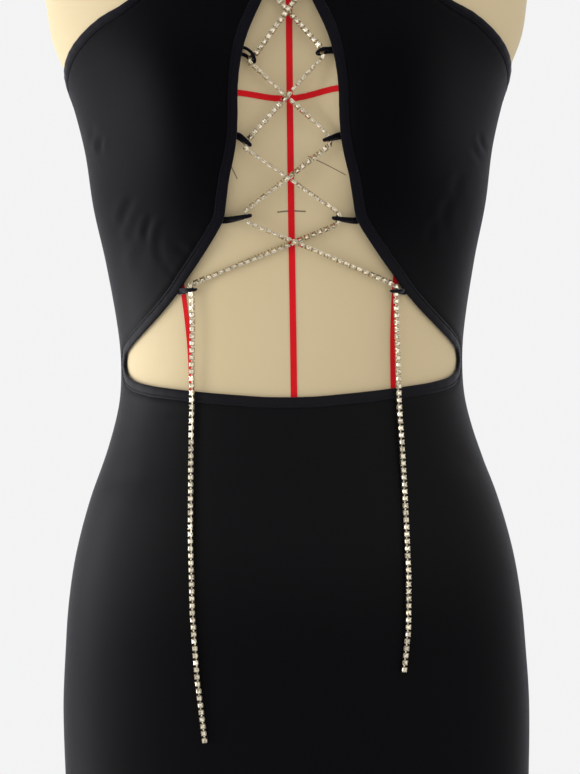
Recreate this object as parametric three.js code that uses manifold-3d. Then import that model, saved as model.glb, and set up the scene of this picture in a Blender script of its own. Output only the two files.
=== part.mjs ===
// Keyhole halter bodycon dress on a limbless dress form with a pole and a flat round base.
// Millimetres, +Z up. The front of the dress faces -Y and the origin is the centre of the base's underside.
import * as THREE from "three";
import Module from "manifold-3d";

const wasm = await Module();
wasm.setup();
const { Manifold, Mesh } = wasm;

// Driving dimensions: the torso of the form.
const TORSO_BOTTOM = 735;
const TORSO_TOP = 1462;
const SIDE_SEAM_Y = 4; // where front and back meet at the sides
const SECTION_POWER = 2 / 2.25; // how square a section is: 1 would be an ellipse
const BUST_HEIGHT = 1216;
const ARM_PLANE = 172; // flat cut at each shoulder end

// Horizontal sections of the body: half width, and depth in front of and behind the middle.
const SECTIONS = [
  { height: 585, halfWidth: 148.5, front: 84, back: 88 },
  { height: 640, halfWidth: 153, front: 89, back: 94 },
  { height: 706, halfWidth: 157.4, front: 93, back: 101 },
  { height: 755, halfWidth: 159.7, front: 96, back: 107 },
  { height: 804, halfWidth: 160.6, front: 99, back: 114 },
  { height: 841, halfWidth: 158.7, front: 101, back: 118 },
  { height: 876, halfWidth: 155.9, front: 103, back: 117 },
  { height: 910, halfWidth: 150.4, front: 103, back: 112 },
  { height: 947, halfWidth: 140.3, front: 101, back: 102 },
  { height: 981, halfWidth: 127.8, front: 97, back: 91 },
  { height: 1013, halfWidth: 119.1, front: 93, back: 82 },
  { height: 1038, halfWidth: 117.1, front: 91, back: 78 },
  { height: 1065, halfWidth: 118.7, front: 91, back: 77 },
  { height: 1113, halfWidth: 126.6, front: 93, back: 81 },
  { height: 1152, halfWidth: 134.9, front: 95, back: 87 },
  { height: 1194, halfWidth: 140.9, front: 98, back: 94 },
  { height: 1239, halfWidth: 152.8, front: 97, back: 99 },
  { height: 1268, halfWidth: 164, front: 91, back: 101 },
  { height: 1296, halfWidth: 168.6, front: 84, back: 102 },
  { height: 1350, halfWidth: 177, front: 64, back: 97 },
  { height: 1390, halfWidth: 177.5, front: 45, back: 84 },
  { height: 1410, halfWidth: 165, front: 32, back: 75 },
  { height: 1428, halfWidth: 135, front: 20, back: 66 },
  { height: 1445, halfWidth: 92, front: 8, back: 56 },
  { height: 1462, halfWidth: 40, front: -6, back: 40 },
];

// The two cups: place across, how far they rise, and how far the rise spreads.
const FORM_CUPS = { across: 86, rise: 56, spread: 54, above: 80, below: 60 };
const CLOTH_CUPS = { across: 86, rise: 57, spread: 62, above: 84, below: 72 };

// Driving dimensions: cloth.
const CLOTH_GAP = 1.1; // cloth to form
const WALL = 1.2;
const BINDING_GAP = 0.9;
const BINDING_WALL = 1.8;
const BINDING_WIDTH = 7;
const EASE = 0.4; // the binding's edge is eased by this
const EASE_SHARE = 0.12; // over this share of its width
const SEAM_GAP = 0.3;
const HEM_HEIGHT = 585;

// Edge of the keyhole, as angle round the body from the middle of the front.
// Upper branch: from the arch down to the corners at the side of the waist.
const KEYHOLE_UPPER = [
  { height: 1306.0, turn: 0 },
  { height: 1304.4, turn: 1.3 },
  { height: 1299.8, turn: 2.4 },
  { height: 1292.0, turn: 3.4 },
  { height: 1282.4, turn: 4.3 },
  { height: 1270.2, turn: 6.0 },
  { height: 1256.6, turn: 7.9 },
  { height: 1244.7, turn: 9.3 },
  { height: 1231.7, turn: 10.4 },
  { height: 1218.4, turn: 11.1 },
  { height: 1203.4, turn: 11.5 },
  { height: 1191.2, turn: 12.0 },
  { height: 1179.0, turn: 12.9 },
  { height: 1164.9, turn: 14.4 },
  { height: 1148.9, turn: 15.7 },
  { height: 1137.9, turn: 16.8 },
  { height: 1131.4, turn: 18.4 },
  { height: 1119.7, turn: 22.3 },
  { height: 1106.6, turn: 27.4 },
  { height: 1096.8, turn: 31.8 },
  { height: 1089.5, turn: 35.1 },
  { height: 1079.7, turn: 41.0 },
  { height: 1071.7, turn: 47.0 },
  { height: 1061.8, turn: 56.4 },
  { height: 1053.8, turn: 66.0 },
  { height: 1048.5, turn: 72.4 },
  { height: 1042.3, turn: 75.2 },
];
// Lower branch: from the corners down to the middle of the waist.
const KEYHOLE_LOWER = [
  { height: 1042.3, turn: 75.2 },
  { height: 1036.7, turn: 72.6 },
  { height: 1031.5, turn: 65.5 },
  { height: 1027.0, turn: 51.2 },
  { height: 1025.0, turn: 41.5 },
  { height: 1023.0, turn: 31.7 },
  { height: 1021.2, turn: 22.5 },
  { height: 1019.6, turn: 13.5 },
  { height: 1018.4, turn: 6.5 },
  { height: 1018.0, turn: 0 },
];

// Edge of the armhole in front, from the neck down to the side seam.
const ARMHOLE = [
  { height: 1446.0, turn: 38.0 },
  { height: 1432.0, turn: 28.0 },
  { height: 1412.0, turn: 23.0 },
  { height: 1388.0, turn: 21.0 },
  { height: 1360.0, turn: 20.8 },
  { height: 1330.0, turn: 22.6 },
  { height: 1303.0, turn: 27.5 },
  { height: 1283.8, turn: 36.9 },
  { height: 1275.4, turn: 46.5 },
  { height: 1264.4, turn: 58.0 },
  { height: 1254.4, turn: 69.3 },
  { height: 1243.8, turn: 82.0 },
  { height: 1236.5, turn: 90 },
];
// Top edge of the back, from the side seam to the middle of the back.
const BACK_EDGE = [
  { height: 1236.5, turn: 90 },
  { height: 1222.0, turn: 101 },
  { height: 1203.0, turn: 112 },
  { height: 1180.0, turn: 124 },
  { height: 1158.0, turn: 136 },
  { height: 1142.0, turn: 149 },
  { height: 1134.0, turn: 164 },
  { height: 1132.0, turn: 180 },
];

// Loops: height of the root on the binding's edge, and tip over the opening.
const LOOPS = [
  { pair: 1, side: "left", rootHeight: 1287.0, tipX: -5.8, tipHeight: 1288.4 },
  { pair: 1, side: "right", rootHeight: 1287.0, tipX: 5.8, tipHeight: 1288.4 },
  { pair: 2, side: "left", rootHeight: 1247.0, tipX: -24.2, tipHeight: 1238.6 },
  { pair: 2, side: "right", rootHeight: 1246.8, tipX: 21.2, tipHeight: 1243.6 },
  { pair: 3, side: "left", rootHeight: 1191.8, tipX: -27.2, tipHeight: 1186.2 },
  { pair: 3, side: "right", rootHeight: 1190.8, tipX: 25.0, tipHeight: 1188.8 },
  { pair: 4, side: "left", rootHeight: 1137.2, tipX: -25.8, tipHeight: 1140.4 },
  { pair: 4, side: "right", rootHeight: 1135.8, tipX: 28.5, tipHeight: 1138.0 },
  { pair: 5, side: "left", rootHeight: 1090.6, tipX: -61.4, tipHeight: 1091.6 },
  { pair: 5, side: "right", rootHeight: 1088.4, tipX: 65.0, tipHeight: 1088.8 },
];
const LOOP_CORD = 2.2;
const LOOP_SIDES = 6;
const LOOP_STEPS = 10;
const ROOT_LIFT = 2.3; // lower strand of a loop, centre to form, at the root
const ROOT_SPREAD = 2.5; // between the two strands at the root
const ROOT_INSET = 1.5; // end of a loop to the binding's edge

// Lace: a stone chain laced through the loops, whose two ends hang down in front.
const LACE_WIDTH = 4.2;
const LACE_SIDES = 8;
const LACE_LIFT = 5.9; // centre to form where it runs through a loop
const LACE_RUN = 3.8; // straight run to each side of a loop's middle
const LEAST_LIFT = 2.9; // centre to form where a strand runs over the body
const CROSS_RUN = 3.5; // straight run to each side of a crossing
const CROSS_GAP = 1.3; // between the strands at a crossing
const LONGEST_STEP = 18;
const HANGING = {
  a: [
    { x: 68.3, height: 1072, lift: 6.0 },
    { x: 68.4, height: 1040, lift: 6.6 },
    { x: 69.0, height: 1012, lift: 5.8 },
    { x: 71.2, height: 975, lift: 5.5 },
    { x: 73.0, height: 935, lift: 5.4 },
    { x: 74.2, height: 895, lift: 5.4 },
    { x: 73.6, height: 862, lift: 5.4 },
    { x: 70.4, height: 833, lift: 5.4 },
  ],
  b: [
    { x: -63.8, height: 1072, lift: 6.0 },
    { x: -64.4, height: 1038, lift: 6.6 },
    { x: -65.0, height: 1010, lift: 5.8 },
    { x: -66.6, height: 965, lift: 5.5 },
    { x: -67.4, height: 920, lift: 5.4 },
    { x: -67.0, height: 875, lift: 5.4 },
    { x: -64.4, height: 830, lift: 5.4 },
    { x: -60.0, height: 788, lift: 5.4 },
  ],
};

// Driving dimensions: neck, plates and stand.
const NECK_CENTRE_BOTTOM = 17;
const NECK_CENTRE_TOP = 4;
const NECK_HALF_WIDTH = 54;
const NECK_HALF_DEPTH = 57;
const NECK_BOTTOM = 1375;
const NECK_TOP = 1500;
const NECK_CAP = 5;
const NECKBAND_HEIGHT = 26;
const NECKBAND_LOW_FRONT = 1405;
const NECKBAND_LOW_BACK = 1462;
const PLATE = 3;
const ARM_PLATE_HALF_DEPTH = 30;
const ARM_PLATE_HALF_HEIGHT = 36;
const ARM_PLATE_HEIGHT = 1362;
const ARM_PLATE_Y = 18;
const UNDERSIDE_PLATE = 8;
const POLE_RADIUS = 14;
const COLLAR_RADIUS = 30;
const COLLAR_HEIGHT = 34;
const BASE_RADIUS = 200;
const BASE_HEIGHT = 12;
const HUB_HEIGHT = 14;
const ROUND_SIDES = 32;

const BLACK = "#121318";
const BLACK_TRIM = "#16171c";
const CREAM = "#dccaa6";
const WOOD = "#b98b58";
const IRON = "#2b2b2d";
const SILVER = "#c9cbd0";

const rad = (degrees) => (degrees * Math.PI) / 180;
const clamp = (value, low, high) => Math.min(high, Math.max(low, value));

// A smooth curve through one named column of a table, read at a value of the key column.
function readTable(rows, key, name, at) {
  const last = rows.length - 1;
  const rising = rows[last][key] > rows[0][key];
  let i = 0;
  while (i < last - 1 && (rising ? rows[i + 1][key] < at : rows[i + 1][key] > at)) i += 1;
  const slope = (k) => {
    const low = rows[Math.max(k - 1, 0)];
    const high = rows[Math.min(k + 1, last)];
    return (high[name] - low[name]) / (high[key] - low[key]);
  };
  const from = rows[i];
  const to = rows[i + 1];
  const span = to[key] - from[key];
  const t = clamp((at - from[key]) / span, 0, 1);
  const blend = t * t * (3 - 2 * t);
  const lead = t * (1 - t) * (1 - t) * span * slope(i);
  const tail = t * t * (t - 1) * span * slope(i + 1);
  return from[name] + (to[name] - from[name]) * blend + lead + tail;
}

// A straight-line reading of a curve of points {turn, height}, as the turn at a height.
function turnAt(curve, height) {
  for (let i = 0; i < curve.length - 1; i += 1) {
    const high = curve[i];
    const low = curve[i + 1];
    if (height <= high.height && height >= low.height) {
      const share = (high.height - height) / Math.max(1e-9, high.height - low.height);
      return high.turn + (low.turn - high.turn) * share;
    }
  }
  return height > curve[0].height ? curve[0].turn : curve[curve.length - 1].turn;
}

// A point on the body, at a turn (radians from the middle of the front) and a height.
function bodyPoint(turn, height, cups) {
  const side = Math.sin(turn);
  const ahead = Math.cos(turn);
  const halfWidth = readTable(SECTIONS, "height", "halfWidth", height);
  const front = readTable(SECTIONS, "height", "front", height) + SIDE_SEAM_Y;
  const back = readTable(SECTIONS, "height", "back", height) - SIDE_SEAM_Y;
  const x = halfWidth * Math.sign(side) * Math.abs(side) ** SECTION_POWER;
  const depth = ahead > 0 ? front : back;
  let y = SIDE_SEAM_Y - Math.sign(ahead) * Math.abs(ahead) ** SECTION_POWER * depth;
  if (ahead > 0) {
    const fall = height > BUST_HEIGHT ? cups.above : cups.below;
    const upright = Math.exp(-(((height - BUST_HEIGHT) / fall) ** 2));
    const right = Math.exp(-(((x - cups.across) / cups.spread) ** 2));
    const left = Math.exp(-(((x + cups.across) / cups.spread) ** 2));
    y -= cups.rise * upright * (right + left) * ahead * ahead;
  }
  return new THREE.Vector3(x, y, height);
}

// The outward direction of the body at a turn and height.
function bodyNormal(turn, height, cups) {
  const stepTurn = 0.01;
  const stepHeight = 1.5;
  const round = bodyPoint(turn + stepTurn, height, cups).sub(bodyPoint(turn - stepTurn, height, cups));
  const low = Math.max(height - stepHeight, HEM_HEIGHT);
  const high = Math.min(height + stepHeight, TORSO_TOP);
  const up = bodyPoint(turn, high, cups).sub(bodyPoint(turn, low, cups));
  return round.cross(up).normalize();
}

// A point above the body, by a distance along the outward direction.
function overBody(turn, height, distance, cups = CLOTH_CUPS) {
  const normal = bodyNormal(turn, height, cups);
  return bodyPoint(turn, height, cups).addScaledVector(normal, distance);
}

// The same curve moved sideways over the body, by a distance to its left as it is walked.
function shiftCurve(curve, distance) {
  return curve.map((at, i) => {
    const before = curve[Math.max(i - 1, 0)];
    const after = curve[Math.min(i + 1, curve.length - 1)];
    const here = bodyPoint(at.turn, at.height, CLOTH_CUPS);
    const along = bodyPoint(after.turn, after.height, CLOTH_CUPS);
    along.sub(bodyPoint(before.turn, before.height, CLOTH_CUPS)).normalize();
    const aside = bodyNormal(at.turn, at.height, CLOTH_CUPS).cross(along).multiplyScalar(distance);
    const round = bodyPoint(at.turn + 0.01, at.height, CLOTH_CUPS).sub(here).divideScalar(0.01);
    const up = bodyPoint(at.turn, at.height + 1, CLOTH_CUPS).sub(here);
    // Solve aside = a * round + b * up on the surface.
    const rr = round.dot(round);
    const ru = round.dot(up);
    const uu = up.dot(up);
    const ar = aside.dot(round);
    const au = aside.dot(up);
    const det = rr * uu - ru * ru;
    return {
      turn: at.turn + (ar * uu - au * ru) / det,
      height: at.height + (au * rr - ar * ru) / det,
    };
  });
}

// A finely stepped curve from an edge table, in radians.
function edgeCurve(rows, steps) {
  const dense = rows.map((row) => new THREE.Vector3(row.turn * 1.9, row.height, 0));
  const smooth = new THREE.CatmullRomCurve3(dense, false, "centripetal");
  return smooth.getSpacedPoints(steps).map((at) => ({ turn: rad(at.x / 1.9), height: at.y }));
}

// Collects points and faces for one solid.
class SolidBuilder {
  constructor() {
    this.points = [];
    this.faces = [];
    this.known = new Map();
  }

  add(point) {
    this.points.push(point.x, point.y, point.z);
    return this.points.length / 3 - 1;
  }

  // The same index for a point that is already there.
  share(point) {
    const key = [point.x, point.y, point.z].map((value) => Math.round(value * 2000)).join();
    if (!this.known.has(key)) this.known.set(key, this.add(point));
    return this.known.get(key);
  }

  quad(a, b, c, d) {
    this.faces.push(a, b, c, a, c, d);
  }

  geometry() {
    const geometry = new THREE.BufferGeometry();
    geometry.setAttribute("position", new THREE.Float32BufferAttribute(this.points, 3));
    geometry.setIndex(this.faces);
    return geometry;
  }
}

// Joins rings of points that all have the same count; closed joins the last ring to the first.
function ringSolid(rings, closed) {
  const build = new SolidBuilder();
  const index = rings.map((ring) => ring.map((at) => build.add(at)));
  const count = rings[0].length;
  const pairs = closed ? rings.length : rings.length - 1;
  for (let i = 0; i < pairs; i += 1) {
    const here = index[i];
    const next = index[(i + 1) % rings.length];
    for (let k = 0; k < count; k += 1) {
      const other = (k + 1) % count;
      build.quad(here[k], here[other], next[other], next[k]);
    }
  }
  if (!closed) {
    const first = index[0];
    const last = index[index.length - 1];
    for (let k = 1; k < count - 1; k += 1) {
      build.faces.push(first[0], first[k + 1], first[k]);
      build.faces.push(last[0], last[k], last[k + 1]);
    }
  }
  return facingOut(build.geometry());
}

// A manifold-3d solid of a geometry, and back.
function toSolid(geometry) {
  const triVerts = new Uint32Array(geometry.index.array);
  const vertProperties = new Float32Array(geometry.attributes.position.array);
  return new Manifold(new Mesh({ numProp: 3, vertProperties, triVerts }));
}

// Turns every face round where the solid would be inside out.
function facingOut(geometry) {
  if (toSolid(geometry).volume() < 0) {
    const faces = geometry.index.array;
    for (let i = 0; i < faces.length; i += 3) {
      [faces[i + 1], faces[i + 2]] = [faces[i + 2], faces[i + 1]];
    }
  }
  return geometry;
}

function fromSolid(solid) {
  const mesh = solid.getMesh();
  const geometry = new THREE.BufferGeometry();
  geometry.setAttribute("position", new THREE.Float32BufferAttribute(mesh.vertProperties, 3));
  geometry.setIndex([...mesh.triVerts]);
  return geometry;
}

const group = new THREE.Group();
group.name = "keyhole_halter_dress";

function addNode(name, geometry, colour, roughness, metalness = 0) {
  const material = new THREE.MeshStandardMaterial({ color: colour, roughness, metalness });
  material.name = name;
  const mesh = new THREE.Mesh(geometry, material);
  mesh.name = name;
  group.add(mesh);
  return mesh;
}

// Torso of the form: one ring of points for each height, flat at the shoulder ends.
const TORSO_COLUMNS = 40;
const TORSO_HEIGHTS = [
  TORSO_BOTTOM, 765, 805, 845, 885, 925, 960, 990, 1016, 1042, 1068, 1094, 1118, 1140, 1158, 1174,
  1189, 1203, 1217, 1232, 1248, 1264, 1281, 1300, 1322, 1346, 1370, 1390, 1404, 1418, 1430, 1441, 1451,
  TORSO_TOP,
];

function torsoRing(height, distance) {
  const ring = [];
  for (let k = 0; k < TORSO_COLUMNS; k += 1) {
    const turn = (2 * Math.PI * k) / TORSO_COLUMNS;
    const at = overBody(turn, height, distance, FORM_CUPS);
    at.x = clamp(at.x, -ARM_PLANE - distance, ARM_PLANE + distance);
    at.z = height;
    ring.push(at);
  }
  return ring;
}

function neckRing(height, distance) {
  const share = (height - NECK_BOTTOM) / (NECK_TOP - NECK_BOTTOM);
  const centre = NECK_CENTRE_BOTTOM + (NECK_CENTRE_TOP - NECK_CENTRE_BOTTOM) * share;
  const ring = [];
  for (let k = 0; k < TORSO_COLUMNS; k += 1) {
    const turn = (2 * Math.PI * k) / TORSO_COLUMNS;
    const x = (NECK_HALF_WIDTH + distance) * Math.sin(turn);
    const y = centre - (NECK_HALF_DEPTH + distance) * Math.cos(turn);
    ring.push(new THREE.Vector3(x, y, height));
  }
  return ring;
}

const torsoLoft = toSolid(ringSolid(TORSO_HEIGHTS.map((height) => torsoRing(height, 0)), false));
const neckLoft = toSolid(ringSolid([neckRing(NECK_BOTTOM, 0), neckRing(NECK_TOP, 0)], false));
addNode("form_torso", fromSolid(torsoLoft.add(neckLoft)), CREAM, 0.85);

// Neck cap: a low disc with an eased edge.
const capLow = neckRing(NECK_TOP, -1).map((at) => at.clone().setZ(NECK_TOP + SEAM_GAP));
const capEdge = neckRing(NECK_TOP, 1).map((at) => at.clone().setZ(NECK_TOP + 2));
const capHigh = neckRing(NECK_TOP, -1).map((at) => at.clone().setZ(NECK_TOP + NECK_CAP));
addNode("form_neck_cap", ringSolid([capLow, capEdge, capHigh], false), WOOD, 0.55);

// Arm plates: flat ovals on the cut shoulder ends.
function ovalRing(x, grow) {
  const ring = [];
  for (let k = 0; k < ROUND_SIDES; k += 1) {
    const angle = (2 * Math.PI * k) / ROUND_SIDES;
    const y = ARM_PLATE_Y + (ARM_PLATE_HALF_DEPTH + grow) * Math.cos(angle);
    const z = ARM_PLATE_HEIGHT + (ARM_PLATE_HALF_HEIGHT + grow) * Math.sin(angle);
    ring.push(new THREE.Vector3(x, y, z));
  }
  return ring;
}

for (const [side, sign] of [["left", -1], ["right", 1]]) {
  const near = ARM_PLANE + SEAM_GAP;
  const rings = [
    ovalRing(near * sign, 0),
    ovalRing((near + PLATE - 0.8) * sign, 0),
    ovalRing((near + PLATE) * sign, -0.8),
  ];
  addNode("form_arm_plate_" + side, ringSolid(rings, false), CREAM, 0.8);
}

// Underside plate, pole, collar and base: turned pieces on one axis.
function turned(profile) {
  const outline = profile.map(([radius, height]) => new THREE.Vector2(radius, height));
  const geometry = new THREE.LatheGeometry(outline, ROUND_SIDES);
  geometry.rotateX(Math.PI / 2);
  return geometry;
}

const plateTop = TORSO_BOTTOM - SEAM_GAP;
const plateBottom = plateTop - UNDERSIDE_PLATE;
const platePoints = (height, inset) => torsoRing(TORSO_BOTTOM, -inset).map((at) => at.clone().setZ(height));
const undersideRings = [platePoints(plateBottom, 9), platePoints(plateTop, 6)];
addNode("form_underside", ringSolid(undersideRings, false), WOOD, 0.55);

const collarTop = plateBottom - SEAM_GAP;
const collarBottom = collarTop - COLLAR_HEIGHT;
const poleTop = collarBottom - SEAM_GAP;
const hubTop = BASE_HEIGHT + HUB_HEIGHT;
const poleBottom = hubTop + SEAM_GAP;
const collarProfile = [
  [0, collarBottom],
  [POLE_RADIUS + 5, collarBottom],
  [COLLAR_RADIUS, collarTop - 8],
  [COLLAR_RADIUS, collarTop],
  [0, collarTop],
];
const poleProfile = [
  [0, poleBottom],
  [POLE_RADIUS, poleBottom],
  [POLE_RADIUS, poleTop],
  [0, poleTop],
];
const baseProfile = [
  [0, 0],
  [BASE_RADIUS, 0],
  [BASE_RADIUS, BASE_HEIGHT - 3],
  [BASE_RADIUS - 3, BASE_HEIGHT],
  [POLE_RADIUS + 20, BASE_HEIGHT],
  [POLE_RADIUS + 10, hubTop],
  [0, hubTop],
];
addNode("stand_collar", turned(collarProfile), IRON, 0.45, 0.6);
addNode("stand_pole", turned(poleProfile), IRON, 0.4, 0.7);
addNode("stand_base", turned(baseProfile), IRON, 0.5, 0.6);

// Seam curves: the edges moved into the cloth by the width of the binding.
const CURVE_STEPS = 90;
const keyholeUpperEdge = edgeCurve(KEYHOLE_UPPER, CURVE_STEPS);
const keyholeLowerEdge = edgeCurve(KEYHOLE_LOWER, CURVE_STEPS);
const armholeEdge = edgeCurve(ARMHOLE, CURVE_STEPS);
const backEdge = edgeCurve(BACK_EDGE, CURVE_STEPS);

// Walks round the right half of the keyhole edge, from the arch to the middle of the waist.
const keyholeRight = [...keyholeUpperEdge, ...keyholeLowerEdge.slice(1)];
const mirrored = (curve) => curve.map((at) => ({ turn: -at.turn, height: at.height }));

// Thins a curve to steps of about the same length over the body.
function evenly(curve, count) {
  const lengths = [0];
  for (let i = 1; i < curve.length; i += 1) {
    const from = bodyPoint(curve[i - 1].turn, curve[i - 1].height, CLOTH_CUPS);
    lengths.push(lengths[i - 1] + from.distanceTo(bodyPoint(curve[i].turn, curve[i].height, CLOTH_CUPS)));
  }
  const total = lengths[lengths.length - 1];
  const even = [];
  let i = 0;
  for (let k = 0; k <= count; k += 1) {
    const want = (total * k) / count;
    while (i < curve.length - 2 && lengths[i + 1] < want) i += 1;
    const share = clamp((want - lengths[i]) / (lengths[i + 1] - lengths[i]), 0, 1);
    even.push({
      turn: curve[i].turn + (curve[i + 1].turn - curve[i].turn) * share,
      height: curve[i].height + (curve[i + 1].height - curve[i].height) * share,
    });
  }
  return even;
}

// A binding strip: the edge curve, and the same curve moved into the cloth.
function stripRings(edge, inward, low, high) {
  const seam = shiftCurve(edge, inward);
  return edge.map((at, i) => {
    const turn = at.turn + (seam[i].turn - at.turn) * EASE_SHARE;
    const height = at.height + (seam[i].height - at.height) * EASE_SHARE;
    return [
      overBody(at.turn, at.height, low),
      overBody(at.turn, at.height, high - EASE),
      overBody(turn, height, high),
      overBody(seam[i].turn, seam[i].height, high),
      overBody(seam[i].turn, seam[i].height, low),
    ];
  });
}

const KEYHOLE_STEPS = 36;
const halfKeyhole = evenly(keyholeRight, KEYHOLE_STEPS);
halfKeyhole[0].turn = 0;
halfKeyhole[KEYHOLE_STEPS].turn = 0;
const wholeKeyhole = [...halfKeyhole, ...mirrored(halfKeyhole).reverse().slice(1, -1)];

// The first and last steps need neighbours on both sides, so the loop is walked with one extra step.
function closedStrip(curve, inward, low, high) {
  const wrapped = [curve[curve.length - 1], ...curve, curve[0]];
  return stripRings(wrapped, inward, low, high).slice(1, -1);
}

const bindingRings = closedStrip(wholeKeyhole, BINDING_WIDTH, BINDING_GAP, BINDING_GAP + BINDING_WALL);
addNode("keyhole_binding", ringSolid(bindingRings, true), BLACK_TRIM, 0.6);

// The edge binding: right armhole, low back and left armhole in one strip.
const EDGE_STEPS = 38;
const halfEdge = evenly([...armholeEdge, ...backEdge.slice(1)], EDGE_STEPS);
const otherHalf = halfEdge.map((at) => ({ turn: 2 * Math.PI - at.turn, height: at.height })).reverse();
const wholeEdge = [...halfEdge, ...otherHalf.slice(1)];
const edgeRings = stripRings(wholeEdge, -BINDING_WIDTH, BINDING_GAP, BINDING_GAP + BINDING_WALL);
const edgeSolid = toSolid(ringSolid(edgeRings, false));

// Neckband: a short standing ring, cut to the slope of the shoulders.
function bandRing(distance, low) {
  const ring = neckRing(NECK_TOP, distance);
  return ring.map((at, k) => {
    const ahead = Math.cos((2 * Math.PI * k) / TORSO_COLUMNS);
    const base = NECKBAND_LOW_FRONT + ((NECKBAND_LOW_BACK - NECKBAND_LOW_FRONT) * (1 - ahead)) / 2;
    const height = low ? base - 30 : base + NECKBAND_HEIGHT;
    const share = (height - NECK_BOTTOM) / (NECK_TOP - NECK_BOTTOM);
    const centre = NECK_CENTRE_BOTTOM + (NECK_CENTRE_TOP - NECK_CENTRE_BOTTOM) * share;
    return new THREE.Vector3(at.x, at.y - NECK_CENTRE_TOP + centre, height);
  });
}

const bandInside = CLOTH_GAP;
const bandOutside = CLOTH_GAP + WALL + 0.2;
const bandRings = [
  bandRing(bandInside, true),
  bandRing(bandInside, false),
  bandRing(bandOutside, false),
  bandRing(bandOutside, true),
];
const bandBlank = toSolid(ringSolid(bandRings, true));
const grownTorso = toSolid(ringSolid(TORSO_HEIGHTS.map((height) => torsoRing(height, CLOTH_GAP)), false));
addNode("neckband", fromSolid(bandBlank.subtract(grownTorso)), BLACK_TRIM, 0.6);

// Everything the neckband needs room for is cut out of the front and the edge binding.
const roomRings = [NECK_BOTTOM, NECK_TOP].map((height) => neckRing(height, bandOutside + SEAM_GAP));
const neckRoom = toSolid(ringSolid(roomRings, false));
addNode("edge_binding", fromSolid(edgeSolid.subtract(neckRoom)), BLACK_TRIM, 0.6);

// Front and back: rows of points between a middle edge and a side edge, mirrored left to right.
const PANEL_COLUMNS = 8;

function clothPanel(heights, middleTurn, sideTurn, facing) {
  const build = new SolidBuilder();
  const low = CLOTH_GAP;
  const high = CLOTH_GAP + WALL;
  for (const sign of [1, -1]) {
    const rows = heights.map((height) => {
      const from = middleTurn(height);
      const to = sideTurn(height);
      const row = [];
      for (let k = 0; k <= PANEL_COLUMNS; k += 1) {
        const turn = facing(sign * (from + ((to - from) * k) / PANEL_COLUMNS));
        const outer = overBody(turn, height, high);
        const inner = overBody(turn, height, low);
        if (k === PANEL_COLUMNS && to > Math.PI / 2 - 1e-6) {
          outer.y = SIDE_SEAM_Y - (Math.cos(facing(0)) * SEAM_GAP) / 2;
          inner.y = outer.y;
        }
        if (from === 0 && k === 0) {
          outer.x = 0;
          inner.x = 0;
        }
        row.push([build.share(outer), build.share(inner)]);
      }
      return { row, joined: from === 0 };
    });
    const face = (a, b, c, d) => (sign > 0 ? build.quad(a, b, c, d) : build.quad(d, c, b, a));
    const last = rows.length - 1;
    for (let i = 0; i < last; i += 1) {
      const here = rows[i].row;
      const next = rows[i + 1].row;
      for (let k = 0; k < PANEL_COLUMNS; k += 1) {
        face(here[k][0], here[k + 1][0], next[k + 1][0], next[k][0]);
        face(here[k][1], next[k][1], next[k + 1][1], here[k + 1][1]);
      }
      if (!(rows[i].joined && rows[i + 1].joined)) face(here[0][1], here[0][0], next[0][0], next[0][1]);
      const end = PANEL_COLUMNS;
      face(here[end][0], here[end][1], next[end][1], next[end][0]);
    }
    for (let k = 0; k < PANEL_COLUMNS; k += 1) {
      const first = rows[0].row;
      const top = rows[last].row;
      face(first[k][0], first[k][1], first[k + 1][1], first[k + 1][0]);
      face(top[k][0], top[k + 1][0], top[k + 1][1], top[k][1]);
    }
  }
  return facingOut(build.geometry());
}

const clothInset = BINDING_WIDTH + SEAM_GAP;
const otherKeyhole = mirrored(halfKeyhole);
const keyholeWalk = [otherKeyhole[1], ...halfKeyhole, otherKeyhole[KEYHOLE_STEPS - 1]];
const keyholeSeam = shiftCurve(keyholeWalk, clothInset).slice(1, -1);
const edgeSeam = shiftCurve(wholeEdge, -clothInset).slice(0, EDGE_STEPS + 1);
const seamTurns = keyholeSeam.map((at) => at.turn);
const widestAt = seamTurns.indexOf(Math.max(...seamTurns));
const keyholeAbove = keyholeSeam.slice(0, widestAt + 1);
const keyholeBelow = keyholeSeam.slice(widestAt);
const keyholeTop = keyholeSeam[0].height;
const keyholeFoot = keyholeSeam[keyholeSeam.length - 1].height;
const sideCut = edgeSeam.findIndex((at) => at.turn > Math.PI / 2);
const ahead = edgeSeam[sideCut - 1];
const behind = edgeSeam[sideCut];
const sideShare = (Math.PI / 2 - ahead.turn) / (behind.turn - ahead.turn);
const sideTop = ahead.height + (behind.height - ahead.height) * sideShare;
const armholeSeam = [...edgeSeam.slice(0, sideCut), { turn: Math.PI / 2, height: sideTop }];
const backSeam = [{ turn: Math.PI / 2, height: sideTop }, ...edgeSeam.slice(sideCut)];
const backFoot = backSeam[backSeam.length - 1].height;

// All the heights that a panel needs a row at, without near doubles.
function rowHeights(plain, curves, top) {
  const wanted = [...plain, ...curves.flatMap((curve) => curve.map((at) => at.height))];
  const sorted = wanted.filter((height) => height <= top).sort((a, b) => a - b);
  const kept = [];
  for (const height of sorted) {
    if (!kept.length || height - kept[kept.length - 1] > 0.2) kept.push(height);
  }
  return kept;
}

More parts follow.
